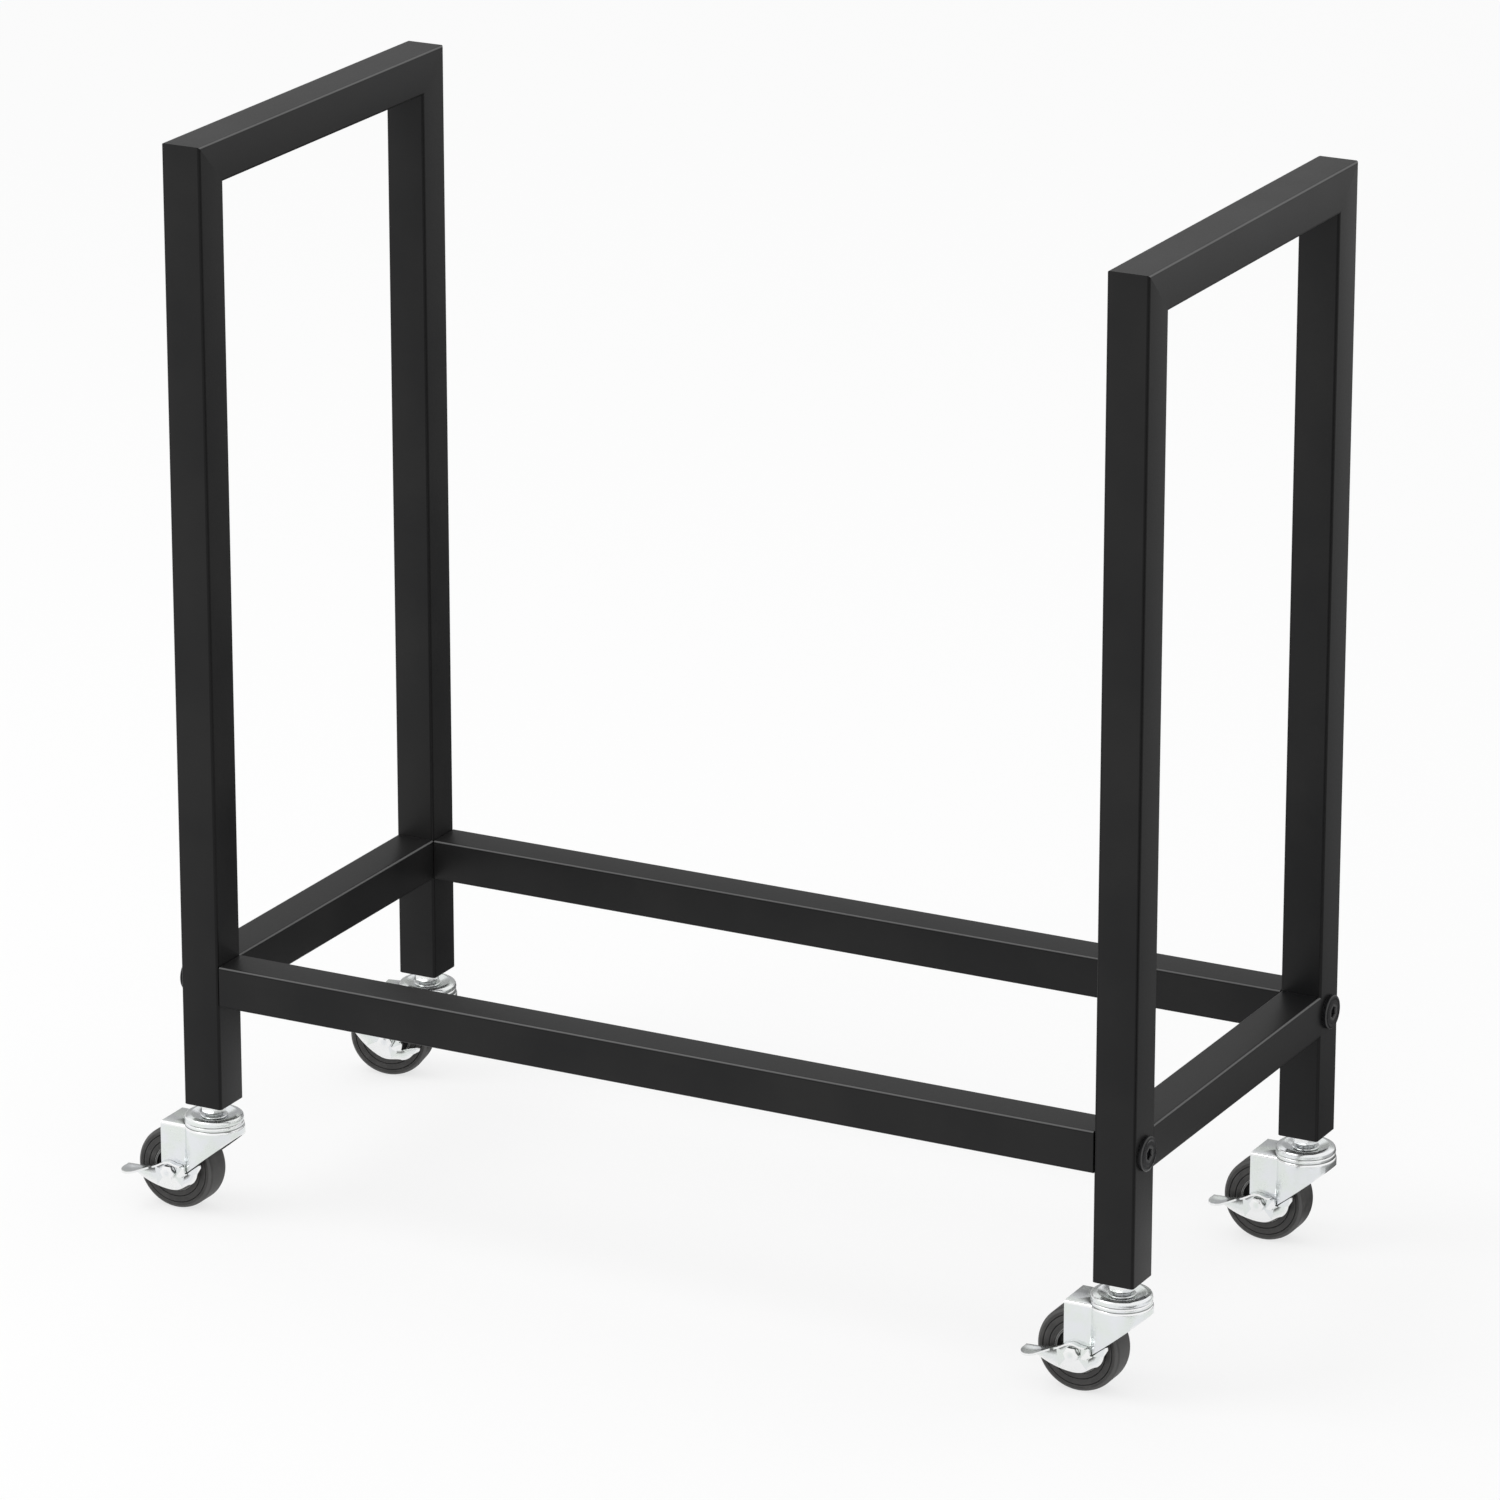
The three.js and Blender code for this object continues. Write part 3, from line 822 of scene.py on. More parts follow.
def bevelled(mesh: bpy.types.Mesh, width: float, steps: int = 2) -> bpy.types.Mesh:
    """Rounds the sharp edges of a mesh.

    Args:
        mesh: The mesh, in millimetres.
        width: The width of the rounding.
        steps: How many stretches it has.

    Returns:
        A new mesh in the place of the old one.
    """
    carrier = bpy.data.objects.new("bevel_carrier", mesh)
    bpy.context.scene.collection.objects.link(carrier)
    rounding = carrier.modifiers.new("rounding", "BEVEL")
    rounding.width = width
    rounding.segments = steps
    rounding.limit_method = "ANGLE"
    rounding.angle_limit = math.radians(50)
    rounding.use_clamp_overlap = True
    return settled(carrier)


def united(first: bpy.types.Mesh, second: bpy.types.Mesh) -> bpy.types.Mesh:
    """Two meshes joined into one skin.

    Args:
        first: A closed mesh.
        second: Another, that runs into it.

    Returns:
        A new mesh in the place of both.
    """
    carrier = bpy.data.objects.new("union_carrier", first)
    helper = bpy.data.objects.new("union_helper", second)
    for item in (carrier, helper):
        bpy.context.scene.collection.objects.link(item)
    union = carrier.modifiers.new("union", "BOOLEAN")
    union.operation = "UNION"
    union.solver = "EXACT"
    union.object = helper
    made = settled(carrier)
    bpy.data.objects.remove(helper)
    bpy.data.meshes.remove(second)
    return made


def settled(carrier: bpy.types.Object) -> bpy.types.Mesh:
    """Applies a carrier's modifiers and removes it.

    Args:
        carrier: An object that is there only for its modifiers.

    Returns:
        The finished mesh.
    """
    bpy.context.view_layer.update()
    evaluated = carrier.evaluated_get(bpy.context.evaluated_depsgraph_get())
    made = bpy.data.meshes.new_from_object(evaluated)
    old = carrier.data
    name = old.name
    bpy.data.objects.remove(carrier)
    bpy.data.meshes.remove(old)
    made.name = name
    return made


def marked(mesh: bpy.types.Mesh) -> None:
    """Notes on each face corner how far it lies on a rounded or in a hollow edge.

    Args:
        mesh: The mesh, in millimetres. The mark is 1 on a rounded edge, -1 in a
            hollow, and 0 on a face that is too broad to be part of either.
    """
    work = bmesh.new()
    work.from_mesh(mesh)
    layer = work.loops.layers.float.new(EDGE_MARK)
    bends = {}
    for vert in work.verts:
        turns = [math.degrees(edge.calc_face_angle_signed(0)) for edge in vert.link_edges]
        sharpest = max(turns, key=abs, default=0)
        share = min(max((abs(sharpest) - EDGE_SOFT) / (EDGE_FULL - EDGE_SOFT), 0), 1)
        bends[vert.index] = math.copysign(share, sharpest)
    for face in work.faces:
        longest = max(edge.calc_length() for edge in face.edges)
        if face.calc_area() / longest < EDGE_BREADTH:
            for loop in face.loops:
                loop[layer] = bends[loop.vert.index]
    work.to_mesh(mesh)
    work.free()


def placed(
    name: str,
    mesh: bpy.types.Mesh,
    where: Matrix,
    finish: Finish,
    body: str,
    nodes: Iterable[str],
) -> bpy.types.Object:
    """Stands a mesh in the cart as a piece that rides on a CAD body.

    Args:
        name: The piece's name.
        mesh: Its mesh, in millimetres about its own axes. It is copied.
        where: Where those axes stand, in millimetres in the row frame.
        finish: Its finish.
        body: The CAD body that it rides on.
        nodes: The CAD nodes that it stands for.

    Returns:
        The piece.
    """
    if EDGE_MARK not in mesh.attributes:
        marked(mesh)
    own = mesh.copy()
    own.name = name
    own.transform(Matrix.Scale(MM, 4) @ where)
    own.materials.clear()
    own.materials.append(finish.material())
    own.shade_smooth()
    own.set_sharp_from_angle(angle=SHARP_ANGLE)
    piece = bpy.data.objects.new(name, own)
    bpy.context.scene.collection.objects.link(piece)
    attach(piece, body)
    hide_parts(*nodes)
    log.info("%s: %d faces on %s", name, len(own.polygons), body)
    return piece


def node_box(node: str) -> tuple[Vector, Vector]:
    """A CAD node's lowest and highest corner, in millimetres."""
    low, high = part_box(node)
    return low / MM, high / MM


# ----------------------------------------------------------------- end frames


@dataclass
class SquareTube:
    """Square steel tube, drawn along Z and centred on it."""

    size: float = 25
    wall: float = 1.5
    corner: float = 1.6
    bore_corner: float = 0.6
    end_edge: float = 0.25

    def draft(self, length: float, mitres: tuple[int, int] = (0, 0)) -> Draft:
        """A length of the tube.

        Args:
            length: Its length, from z = 0 up.
            mitres: For its lower and upper end, 0 where it is square, or the side in
                Y that keeps its length where it is mitred.

        Returns:
            The tube.
        """
        outside = square_ring(self.size, self.corner)
        bore = square_ring(self.size - 2 * self.wall, self.bore_corner)
        eased = square_ring(self.size - 2 * self.end_edge, self.corner)

        def ring(points: Sequence[Point2], upper: bool, back: float = 0) -> list[Vector]:
            """One ring of points at an end, drawn back from a square end."""
            long_side = mitres[1 if upper else 0]
            found = []
            for x, y in points:
                cut = self.size / 2 - long_side * y if long_side else back
                found.append(Vector((x, y, length - cut if upper else cut)))
            return found

        rows = [ring(bore, False)]
        if not mitres[0]:
            rows.append(ring(eased, False))
        rows += [ring(outside, False, self.end_edge), ring(outside, True, self.end_edge)]
        if not mitres[1]:
            rows.append(ring(eased, True))
        rows.append(ring(bore, True))
        return loft(rows, joined=True)


@dataclass
class EndFrame:
    """One end of the cart: two posts, a mitred top bar and a crossbar, welded flush."""

    side: int
    tube: SquareTube = field(default_factory=SquareTube)

    @property
    def name(self) -> str:
        """left or right."""
        return "right" if self.side > 0 else "left"

    def build(self) -> list[bpy.types.Object]:
        """Builds the four tubes of the frame.

        Returns:
            The pieces.
        """
        pieces = []
        for corner in (corner for corner in Corner if corner.along == self.side):
            node = f"post_{corner.value}"
            low, high = node_box(node)
            middle = (low + high) / 2
            mesh = self.tube.draft(high.z - low.z, (0, corner.across)).mesh(node)
            where = Matrix.Translation((middle.x, middle.y, low.z))
            name = f"tube_post_{corner.value}"
            pieces.append(placed(name, mesh, where, POWDER_COAT, "frame", [node]))
        pieces.append(self._bar("top_bar", mitred=True))
        pieces.append(self._bar("crossbar", mitred=False))
        return pieces

    def _bar(self, kind: str, mitred: bool) -> bpy.types.Object:
        """Builds a bar between the posts.

        Args:
            kind: The start of its CAD node's name.
            mitred: Whether it meets the posts in mitres. Otherwise its weld fills
                the posts' round corners, and is ground flush.

        Returns:
            The piece.
        """
        node = f"{kind}_{self.name}"
        low, high = node_box(node)
        front = node_box(f"post_front_{self.name}")
        rear = node_box(f"post_rear_{self.name}")
        if mitred:
            start, end = front[0].y, rear[1].y
            draft = self.tube.draft(end - start, (1, 1))
        else:
            reach = self.tube.corner
            start, end = front[1].y - reach, rear[0].y + reach
            draft = self.tube.draft(end - start)
        middle = (low + high) / 2
        lay = Matrix.Rotation(-RIGHT_ANGLE, 4, "X")
        if mitred:
            lay = lay @ Matrix.Rotation(math.radians(180), 4, "Z")
        where = Matrix.Translation((middle.x, start, middle.z)) @ lay
        mesh = draft.mesh(node)
        return placed(f"tube_{kind}_{self.name}", mesh, where, POWDER_COAT, "frame", [node])


@dataclass
class RailBolt:
    """The low, wide head of a rail bolt, with a rolled rim and a key socket."""

    head_radius: float = 10
    head_height: float = 3
    shank_radius: float = 4
    rim: float = 0.9
    step_radius: float = 7.2
    step_depth: float = 0.35
    socket_flats: float = 6
    socket_depth: float = 2
    countersink: float = 4.3

    def draft(self, shank: float) -> Draft:
        """The bolt, with its head above z = 0.

        Args:
            shank: How far its shank reaches below.

        Returns:
            The bolt.
        """
        top = self.head_height
        floor = top - self.socket_depth
        outside = filleted(
            [
                (0, -shank),
                (self.shank_radius, -shank, 0.6),
                (self.shank_radius, 0),
                (self.head_radius - 0.2, 0),
                (self.head_radius, 0.5, 0.4),
                (self.head_radius, top - 0.5, self.rim),
                (self.step_radius + 1.2, top, 0.5),
                (self.step_radius, top - self.step_depth, 0.4),
                (self.countersink + 0.7, top - 0.1, 0.5),
            ],
            steps=4,
            closed=False,
        )
        rows = [level_ring(radius, height, HEXAGON_STEPS) for radius, height in outside]
        reaches = hexagon_reaches(self.socket_flats / 2)
        for share, height in ((1.12, top - 0.2), (1, top - 0.7), (1, floor)):
            rows.append(ring_of([reach * share for reach in reaches], [height] * HEXAGON_STEPS))
        rows.append([Vector((0, 0, floor - 0.4))] * HEXAGON_STEPS)
        return loft(rows, capped=False)


@dataclass
class DeckRails:
    """The two rails that carry the logs, and the four bolts that hold them."""

    tube: SquareTube = field(default_factory=SquareTube)
    bolt: RailBolt = field(default_factory=RailBolt)

    def build(self) -> list[bpy.types.Object]:
        """Builds the rails and their bolts.

        Returns:
            The pieces.
        """
        pieces = []
        for side in ("front", "rear"):
            node = f"rail_{side}"
            low, high = node_box(node)
            middle = (low + high) / 2
            mesh = self.tube.draft(high.x - low.x).mesh(node)
            lay = Matrix.Rotation(RIGHT_ANGLE, 4, "Y")
            where = Matrix.Translation((low.x, middle.y, middle.z)) @ lay
            pieces.append(placed(f"tube_{node}", mesh, where, POWDER_COAT, "frame", [node]))
        for corner in Corner:
            node = f"rail_bolt_{corner.value}"
            low, high = node_box(node)
            middle = (low + high) / 2
            seat = high.x if corner.along > 0 else low.x
            seat -= corner.along * self.bolt.head_height
            shank = high.x - low.x - self.bolt.head_height
            turn = Matrix.Rotation(RIGHT_ANGLE * corner.along, 4, "Y")
            where = Matrix.Translation((seat, middle.y, middle.z)) @ turn
            mesh = self.bolt.draft(shank).mesh(node)
            name = f"bolt_head_{corner.value}"
            pieces.append(placed(name, mesh, where, BLACK_BOLT, "frame", [node]))
        return pieces


# --------------------------------------------------------------------- casters


@dataclass
class Stem:
    """The caster's stem: riveted head, neck, washer face, hexagon collar and shank."""

    post_end: float = 68.5
    tip: float = 90.5
    shank_radius: float = 5
    neck_radius: float = 5.2
    washer_low: float = 59.7
    washer_high: float = 60.7
    washer_radius: float = 8
    collar_low: float = 62.3
    collar_flats: float = 14
    rivet_low: float = 53.7
    rivet_high: float = 55.2
    rivet_radius: float = 9

    def draft(self) -> Draft:
        """The stem about Z, with the floor at z = 0."""
        profile = filleted(
            [
                (0, self.rivet_low - 0.1),
                (self.rivet_radius, self.rivet_low, 0.7),
                (self.rivet_radius, self.rivet_high, 0.2),
                (self.neck_radius, self.rivet_high),
                (self.neck_radius, self.washer_low),
                (self.washer_radius, self.washer_low, 0.25),
                (self.washer_radius, self.washer_high, 0.45),
                (self.neck_radius, self.washer_high, 0.2),
                (self.neck_radius, self.collar_low - 0.1),
                (self.neck_radius + 0.7, self.collar_low + 0.1),
                (self.neck_radius + 0.7, self.collar_low + 0.4),
                (self.shank_radius, self.collar_low + 0.8),
                (self.shank_radius, self.tip, 0.8),
                (0, self.tip),
            ],
            closed=False,
        )
        collar = hexagon_body(
            self.collar_flats, self.collar_low, self.post_end - 0.2, 0, (0.9, 0.4)
        )
        return turned(profile, 64) + collar


@dataclass
class SwivelCap:
    """The pressed cap over the ball race, dished in the middle."""

    bore: float = 5.8
    radius: float = 17.6
    sheet: float = 1.3
    rim: float = 57.6
    crown: float = 61.4
    dish: float = 59.5
    dish_radius: float = 8.6
    shoulder: float = 2.6

    def draft(self) -> Draft:
        """The cap about Z, with the floor at z = 0."""
        outside = [
            (self.bore, self.dish, 0.2),
            (self.dish_radius, self.dish, 1.2),
            (self.radius - self.shoulder - 1.4, self.crown, 2.4),
            (self.radius - 0.5, self.crown - 0.9, 2.0),
            (self.radius, self.rim, 0.25),
        ]
        under = [
            (self.radius - self.sheet, self.rim, 0.25),
            (self.radius - self.sheet - 0.6, self.crown - self.sheet - 0.6, 1.0),
            (self.radius - self.shoulder - 1.4, self.crown - self.sheet, 1.4),
            (self.dish_radius, self.dish - self.sheet, 1.0),
            (self.bore, self.dish - self.sheet, 0.2),
        ]
        return turned(filleted([*outside, *under], steps=6), 112, joined=True)


@dataclass
class Fork:
    """The fork, pressed from sheet: a plate with a raised race, a skirt and two legs."""

    sheet: float = 1.8
    half_width: float = 13
    plate: float = 55
    bend: float = 1.9
    flare: float = 3
    skirt_radius: float = 18
    skirt_depth: float = 5
    leg_end: float = 6.5
    trail: float = 22.5
    axle: float = 25
    race_radius: float = 17.4
    race_top: float = 57.2
    race_edge: float = 1.2
    race_lap: float = 1.6
    stem_hole: float = 6.4
    edge: float = 0.3
    steps: int = 96

    @property
    def slant_angle(self) -> float:
        """The angle, in degrees, at which the slanting edge leaves a leg's round end."""
        dx = self.skirt_radius + self.trail
        dz = self.plate - self.skirt_depth - self.axle
        return math.degrees(math.atan2(dz, dx) - math.acos(self.leg_end / math.hypot(dx, dz)))

    def lower_edge(self, x: float) -> float:
        """The height of the legs' and skirt's lower edge at a place along X."""
        near_x, near_z = polar(self.leg_end, self.slant_angle, (-self.trail, self.axle))
        if x <= near_x:
            reach = min(abs(x + self.trail), self.leg_end)
            return self.axle - math.sqrt(self.leg_end**2 - reach**2)
        low = self.plate - self.skirt_depth
        share = (x - near_x) / (self.skirt_radius - near_x)
        return near_z + (low - near_z) * min(share, 1)

    def outline(self, inwards: float) -> list[Point2]:
        """The fork from above, from one free edge round to the other.

        Args:
            inwards: How far inside the outer face it runs.

        Returns:
            The points, as many for any distance.
        """
        flare_y = self.half_width + self.flare
        flare_x = math.sqrt((self.skirt_radius + self.flare) ** 2 - flare_y**2)
        meet = math.degrees(math.atan2(flare_y, flare_x))
        half = self.half_width - inwards
        round_end = arc((-self.trail, 0), self.leg_end, 180, 360 + self.slant_angle, 16)
        leg = [x for x, _ in round_end]
        leg += [leg[-1] + (-flare_x - leg[-1]) * step / 3 for step in (1, 2)]
        straight = [(x, -half) for x in leg]
        near = arc((-flare_x, -flare_y), self.flare + inwards, 90, meet, 6)
        side = [*straight, *near]
        nose = arc((0, 0), self.skirt_radius - inwards, meet - 180, 180 - meet, 48)
        return [*side, *nose[1:-1], *[(x, -y) for x, y in reversed(side)]]

    def skin(self) -> Draft:
        """The legs, skirt and plate, with a round opening under the race."""
        levels = [(0.0, share) for share in (0, 0.25, 0.5, 0.75, 1)]
        top = self.plate - self.bend
        rows: list[list[Vector]] = []

        def column(inwards: float, share: float, above: float = 0) -> list[Vector]:
            """One row round the fork, at a share of the way up to the bend."""
            found = []
            for x, y in self.outline(inwards):
                low = self.lower_edge(x)
                found.append(Vector((x, y, low + (top - low) * share + above)))
            return found

        rows += [column(inwards, share) for inwards, share in levels]
        for turn in (15, 30, 45, 60, 75, 90):
            depth = self.bend * (1 - math.cos(math.radians(turn)))
            rows.append(column(depth, 1, self.bend * math.sin(math.radians(turn))))
        outer_rim = rows[-1]
        small = self.bend - self.sheet
        for turn in (90, 45, 0):
            depth = self.bend - small * math.cos(math.radians(turn))
            rows.append(column(depth, 1, small * math.sin(math.radians(turn))))
        inner_rim = rows[-3]
        rows += [column(self.sheet, share) for share in (0.75, 0.5, 0.25, 0)]
        skin = self._strips(rows, outer_rim, inner_rim)
        hole = self.race_radius - self.race_lap
        bore = [
            level_ring(hole, height, self.steps)
            for height in (self.plate, self.plate - self.sheet)
        ]
        for rim, ring in zip((outer_rim, inner_rim), bore):
            skin = skin + filled([rim, ring])
        return skin + loft(bore, capped=False)

    @staticmethod
    def _strips(
        rows: Sequence[Sequence[Vector]], outer: Sequence[Vector], inner: Sequence[Vector]
    ) -> Draft:
        """Joins rows that run from one free edge to the other, and closes their ends.

        Args:
            rows: The rows, round the section of the sheet.
            outer: The row where the plate's upper face starts.
            inner: The row where its lower face starts.

        Returns:
            The skin, without the faces of the plate.
        """
        count = len(rows[0])
        points = [point for row in rows for point in row]
        faces: list[tuple[int, ...]] = []
        split = rows.index(inner)
        for row in range(len(rows)):
            ahead = (row + 1) % len(rows)
            if ahead == split:
                continue
            for index in range(count - 1):
                a, b = row * count + index, ahead * count + index
                faces.append((a, a + 1, b + 1, b))
        for end in (0, count - 1):
            for row in range(split):
                back = len(rows) - 1 - row
                if row + 1 < split and back - 1 >= split:
                    around = (row, row + 1, back - 1, back)
                    faces.append(tuple(place * count + end for place in around))
            lows = [row * count + end for row in range(len(rows) - 1 - split, split)]
            faces.append(tuple([*lows, split * count + end]))
        top = rows.index(outer)
        faces.append(
            (top * count, top * count + count - 1, split * count + count - 1, split * count)
        )
        return Draft(points, faces)

    def race(self) -> Draft:
        """The raised ball race, about Z."""
        base = self.plate - self.sheet
        under = self.race_top - self.sheet
        return turned(
            filleted(
                [
                    (self.stem_hole, self.race_top, 0.2),
                    (self.race_radius, self.race_top, self.race_edge),
                    (self.race_radius, base, 0.1),
                    (self.race_radius - self.sheet, base, 0.1),
                    (self.race_radius - self.sheet, under, 0.5),
                    (self.stem_hole, under, 0.2),
                ]
            ),
            self.steps,
            joined=True,
        )

    def mesh(self) -> bpy.types.Mesh:
        """The fork as one skin."""
        skin = bevelled(self.skin().mesh("fork_skin"), self.edge)
        return united(skin, self.race().mesh("fork_race"))


@dataclass
class Axle:
    """The axle's bolt and nut, about Y, with its head on the lever's side."""

    radius: float = 2.5
    head_flats: float = 8
    head_seat: float = 14.8
    head_height: float = 3.5
    nut_seat: float = 13.3
    nut_height: float = 4
    tail: float = 1.2

    def bolt(self) -> Draft:
        """The bolt, drawn along Z with its head at the top."""
        top = self.head_seat + self.head_height
        shank = filleted(
            [
                (0, -self.nut_seat - self.nut_height - self.tail),
                (self.radius, -self.nut_seat - self.nut_height - self.tail, 0.5),
                (self.radius, self.head_seat + 1),
                (0, self.head_seat + 1),
            ],
            closed=False,
        )
        head = hexagon_body(self.head_flats, self.head_seat, top, 0, (0.1, 0.7))
        return turned(shank, 40) + head

    def nut(self) -> Draft:
        """The nut, drawn along Z below the bolt's head."""
        low = -self.nut_seat - self.nut_height
        return hexagon_body(self.head_flats, low, -self.nut_seat, self.radius + 0.15, (0.5, 0.5))


@dataclass
class Wheel:
    """A moulded wheel: a hub with a thin web, and a tyre with ringed sides."""

    radius: float = 25
    tread: float = 18
    shoulder: float = 3.4
    bore: float = 2.6
    boss_radius: float = 5
    boss_width: float = 21.6
    web_width: float = 12
    rim_inside: float = 12.4
    rim_radius: float = 14
    rim_width: float = 17.4
    tyre_inside: float = 14.15
    rings: tuple[float, float] = (17.2, 21.0)
    ring_width: float = 0.9
    ring_depth: float = 0.8

    def hub(self) -> Draft:
        """The hub, drawn about Z."""
        half = [
            (self.bore, self.boss_width / 2, 0.2),
            (self.boss_radius, self.boss_width / 2, 0.5),
            (self.boss_radius + 0.3, self.web_width / 2, 1.2),
            (self.rim_inside, self.web_width / 2, 1.0),
            (self.rim_inside + 0.2, self.rim_width / 2, 0.35),
            (self.rim_radius, self.rim_width / 2, 0.35),
        ]
        return turned(filleted(self._whole(half)), 96, joined=True)

    def tyre(self) -> Draft:
        """The tyre, drawn about Z."""
        side = self.tread / 2
        half: list[tuple[float, ...]] = [(self.tyre_inside, side - 0.1, 0.3)]
        for ring in self.rings:
            half += [
                (ring - self.ring_width / 2, side, 0.25),
                (ring, side - self.ring_depth, 0.2),
                (ring + self.ring_width / 2, side, 0.25),
            ]
        half += [
            (self.radius - 0.8, side, self.shoulder),
            (self.radius, side - 2.6, self.shoulder),
            (self.radius, 0),
        ]
        return turned(filleted(self._whole(half)), 128, joined=True)

    @staticmethod
    def _whole(half: Sequence[tuple[float, ...]]) -> list[tuple[float, ...]]:
        """A wheel's whole profile from its upper half."""
        mirrored = [(radius, -height, *rest) for radius, height, *rest in half]
        return [*half, *reversed([point for point in mirrored if point[1] != 0])]


@dataclass
class BrakeLever:
    """The brake lever, drawn from the axle: X along the cart, Y up, Z outwards."""

    sheet: float = 1.2
    inner: float = 13.3
    depth: float = 11.5
    crown: float = 6.6
    hook: float = 21.2
    reach: float = 29
    pedal_width: float = 14
    lip: float = 2.2
    ramp: float = 1.4
    bore: float = 2.6
    slant: Point2 = (0.8243, -9.02)
    clear: float = 9.9
    dish: float = 0.5

    @property
    def outer(self) -> float:
        """How far the lever's flat stands out."""
        return self.inner + self.sheet

    def under_slant(self, x: float) -> Point2:
        """A point just below the leg's slanting edge."""
        return x, self.slant[0] * x + self.slant[1]

    def top(self) -> list[Point2]:
        """The lever's top edge, level along the pedal and up over the bolt's head."""
        return [
            *bezier(
                [
                    (-self.reach, -0.2),
                    (-22, 0.3),
                    (-15, -0.4),
                    (-8.5, 1.6),
                    (-5.6, 5.2),
                    (-3.2, 5.9),
                ],
                22,
            ),
            *arc((0, 0), self.crown, 116, 62, 8)[1:],
            *bezier([polar(self.crown, 62), (5.2, 5.3), polar(self.clear, 31)], 4)[1:],
        ]

    def top_at(self, x: float) -> float:
        """The height of the top edge at a place along X."""
        line = self.top()
        for (x0, z0), (x1, z1) in zip(line, line[1:]):
            if x0 <= x <= x1:
                return z0 + (z1 - z0) * (x - x0) / max(x1 - x0, 1e-6)
        return line[-1][1] if x > line[-1][0] else line[0][1]

    def flat(self) -> Draft:
        """The flat of the lever, with its lobe below the axle and its hook."""
        root = -self.reach * 0.78
        hook_x, hook_z = self.under_slant(self.hook)
        lobe = bezier([(root, -4.6), (-15, -9.2), (-6, -self.depth), (1, -self.depth)], 14)
        belly = bezier([(1, -self.depth), (8, -self.depth), (10, -6.9), (14.6, -5.75)], 10)
        throat = bezier([(14.6, -5.75), (18, -3.6), (hook_x - 2.4, hook_z - 7)], 6)
        tip = filleted(
            [
                (hook_x - 2.4, hook_z - 7),
                (hook_x, hook_z - 3, 1.5),
                (hook_x - 0.4, hook_z - 1, 0.6),
                (*self.under_slant(self.hook - 1.6), 0.4),
                self.under_slant(self.clear + 1),
            ],
            closed=False,
        )
        above = [(x, z - 0.3) for x, z in reversed(self.top()) if x > root]
        outline = [*lobe, *belly[1:], *throat[1:], *tip[1:], self.under_slant(self.clear)]
        outline += [*above, (root, -0.5)]
        hole = arc((0, 0), self.bore, 0, 350, 35)
        return plate(outline, self.inner, self.outer, 0.3, [hole])

    def plan(self) -> list[Point2]:
        """How far out the pedal and the lip reach, from the pedal's end inwards."""
        out = self.inner + self.pedal_width
        lip = self.outer + self.lip
        tab = bezier(
            [(-self.reach, out - 9), (-self.reach, out - 4.5), (-26.1, out), (-22.6, out)], 12
        )
        waist = bezier([(-22.6, out), (-17.4, out), (-16.2, lip + 0.6), (-11.6, lip)], 12)
        far = [(x, lip) for x in (-9, -6.5, -4, -2, 0, 2, 4, 6)]
        return [*tab, *waist[1:], *far, (7.6, lip - 0.5), (8.4, lip - 1.6)]

    def pedal(self) -> Draft:
        """The pedal and the lip, with a shallow dish pressed in the pedal."""
        grid = []
        for x, out in self.plan():
            row = []
            for step in range(9):
                share = step / 8
                away = 1 - min(((x + 22) / 8) ** 2, 1)
                drop = self.dish * away * math.sin(math.pi * share) ** 2
                place = self.inner + (out - self.inner) * share
                row.append(Vector((x, self.top_at(x) - drop, place)))
            grid.append(row)
        upright = Matrix.Rotation(RIGHT_ANGLE, 4, "X")
        flat_grid = [[upright @ point for point in row] for row in grid]
        return slab(flat_grid, self.sheet).moved(upright.inverted())

    def pad(self) -> Draft:
        """The ramp pressed up beside the bolt, with its steep side along the leg's edge."""
        outline = filleted(
            [
                (5.2, -2.3, 0.9),
                (8.8, -2.6, 2.4),
                (13.1, 0.7, 0.6),
                (11.2, 0.4, 0.3),
                (10.2, 3.9, 1.2),
                (5.2, 5.5, 0.9),
            ]
        )
        return plate(outline, self.outer - 0.3, self.outer + self.ramp, 0.35, both=False)

    def mesh(self) -> bpy.types.Mesh:
        """The lever as one skin, turned so that it faces -Y."""
        tab = bevelled(self.pedal().mesh("lever_pedal"), 0.42, 3)
        made = united(self.flat().mesh("lever_flat"), tab)
        made = united(made, self.pad().mesh("lever_pad"))
        made.transform(TIP_Y)
        return made


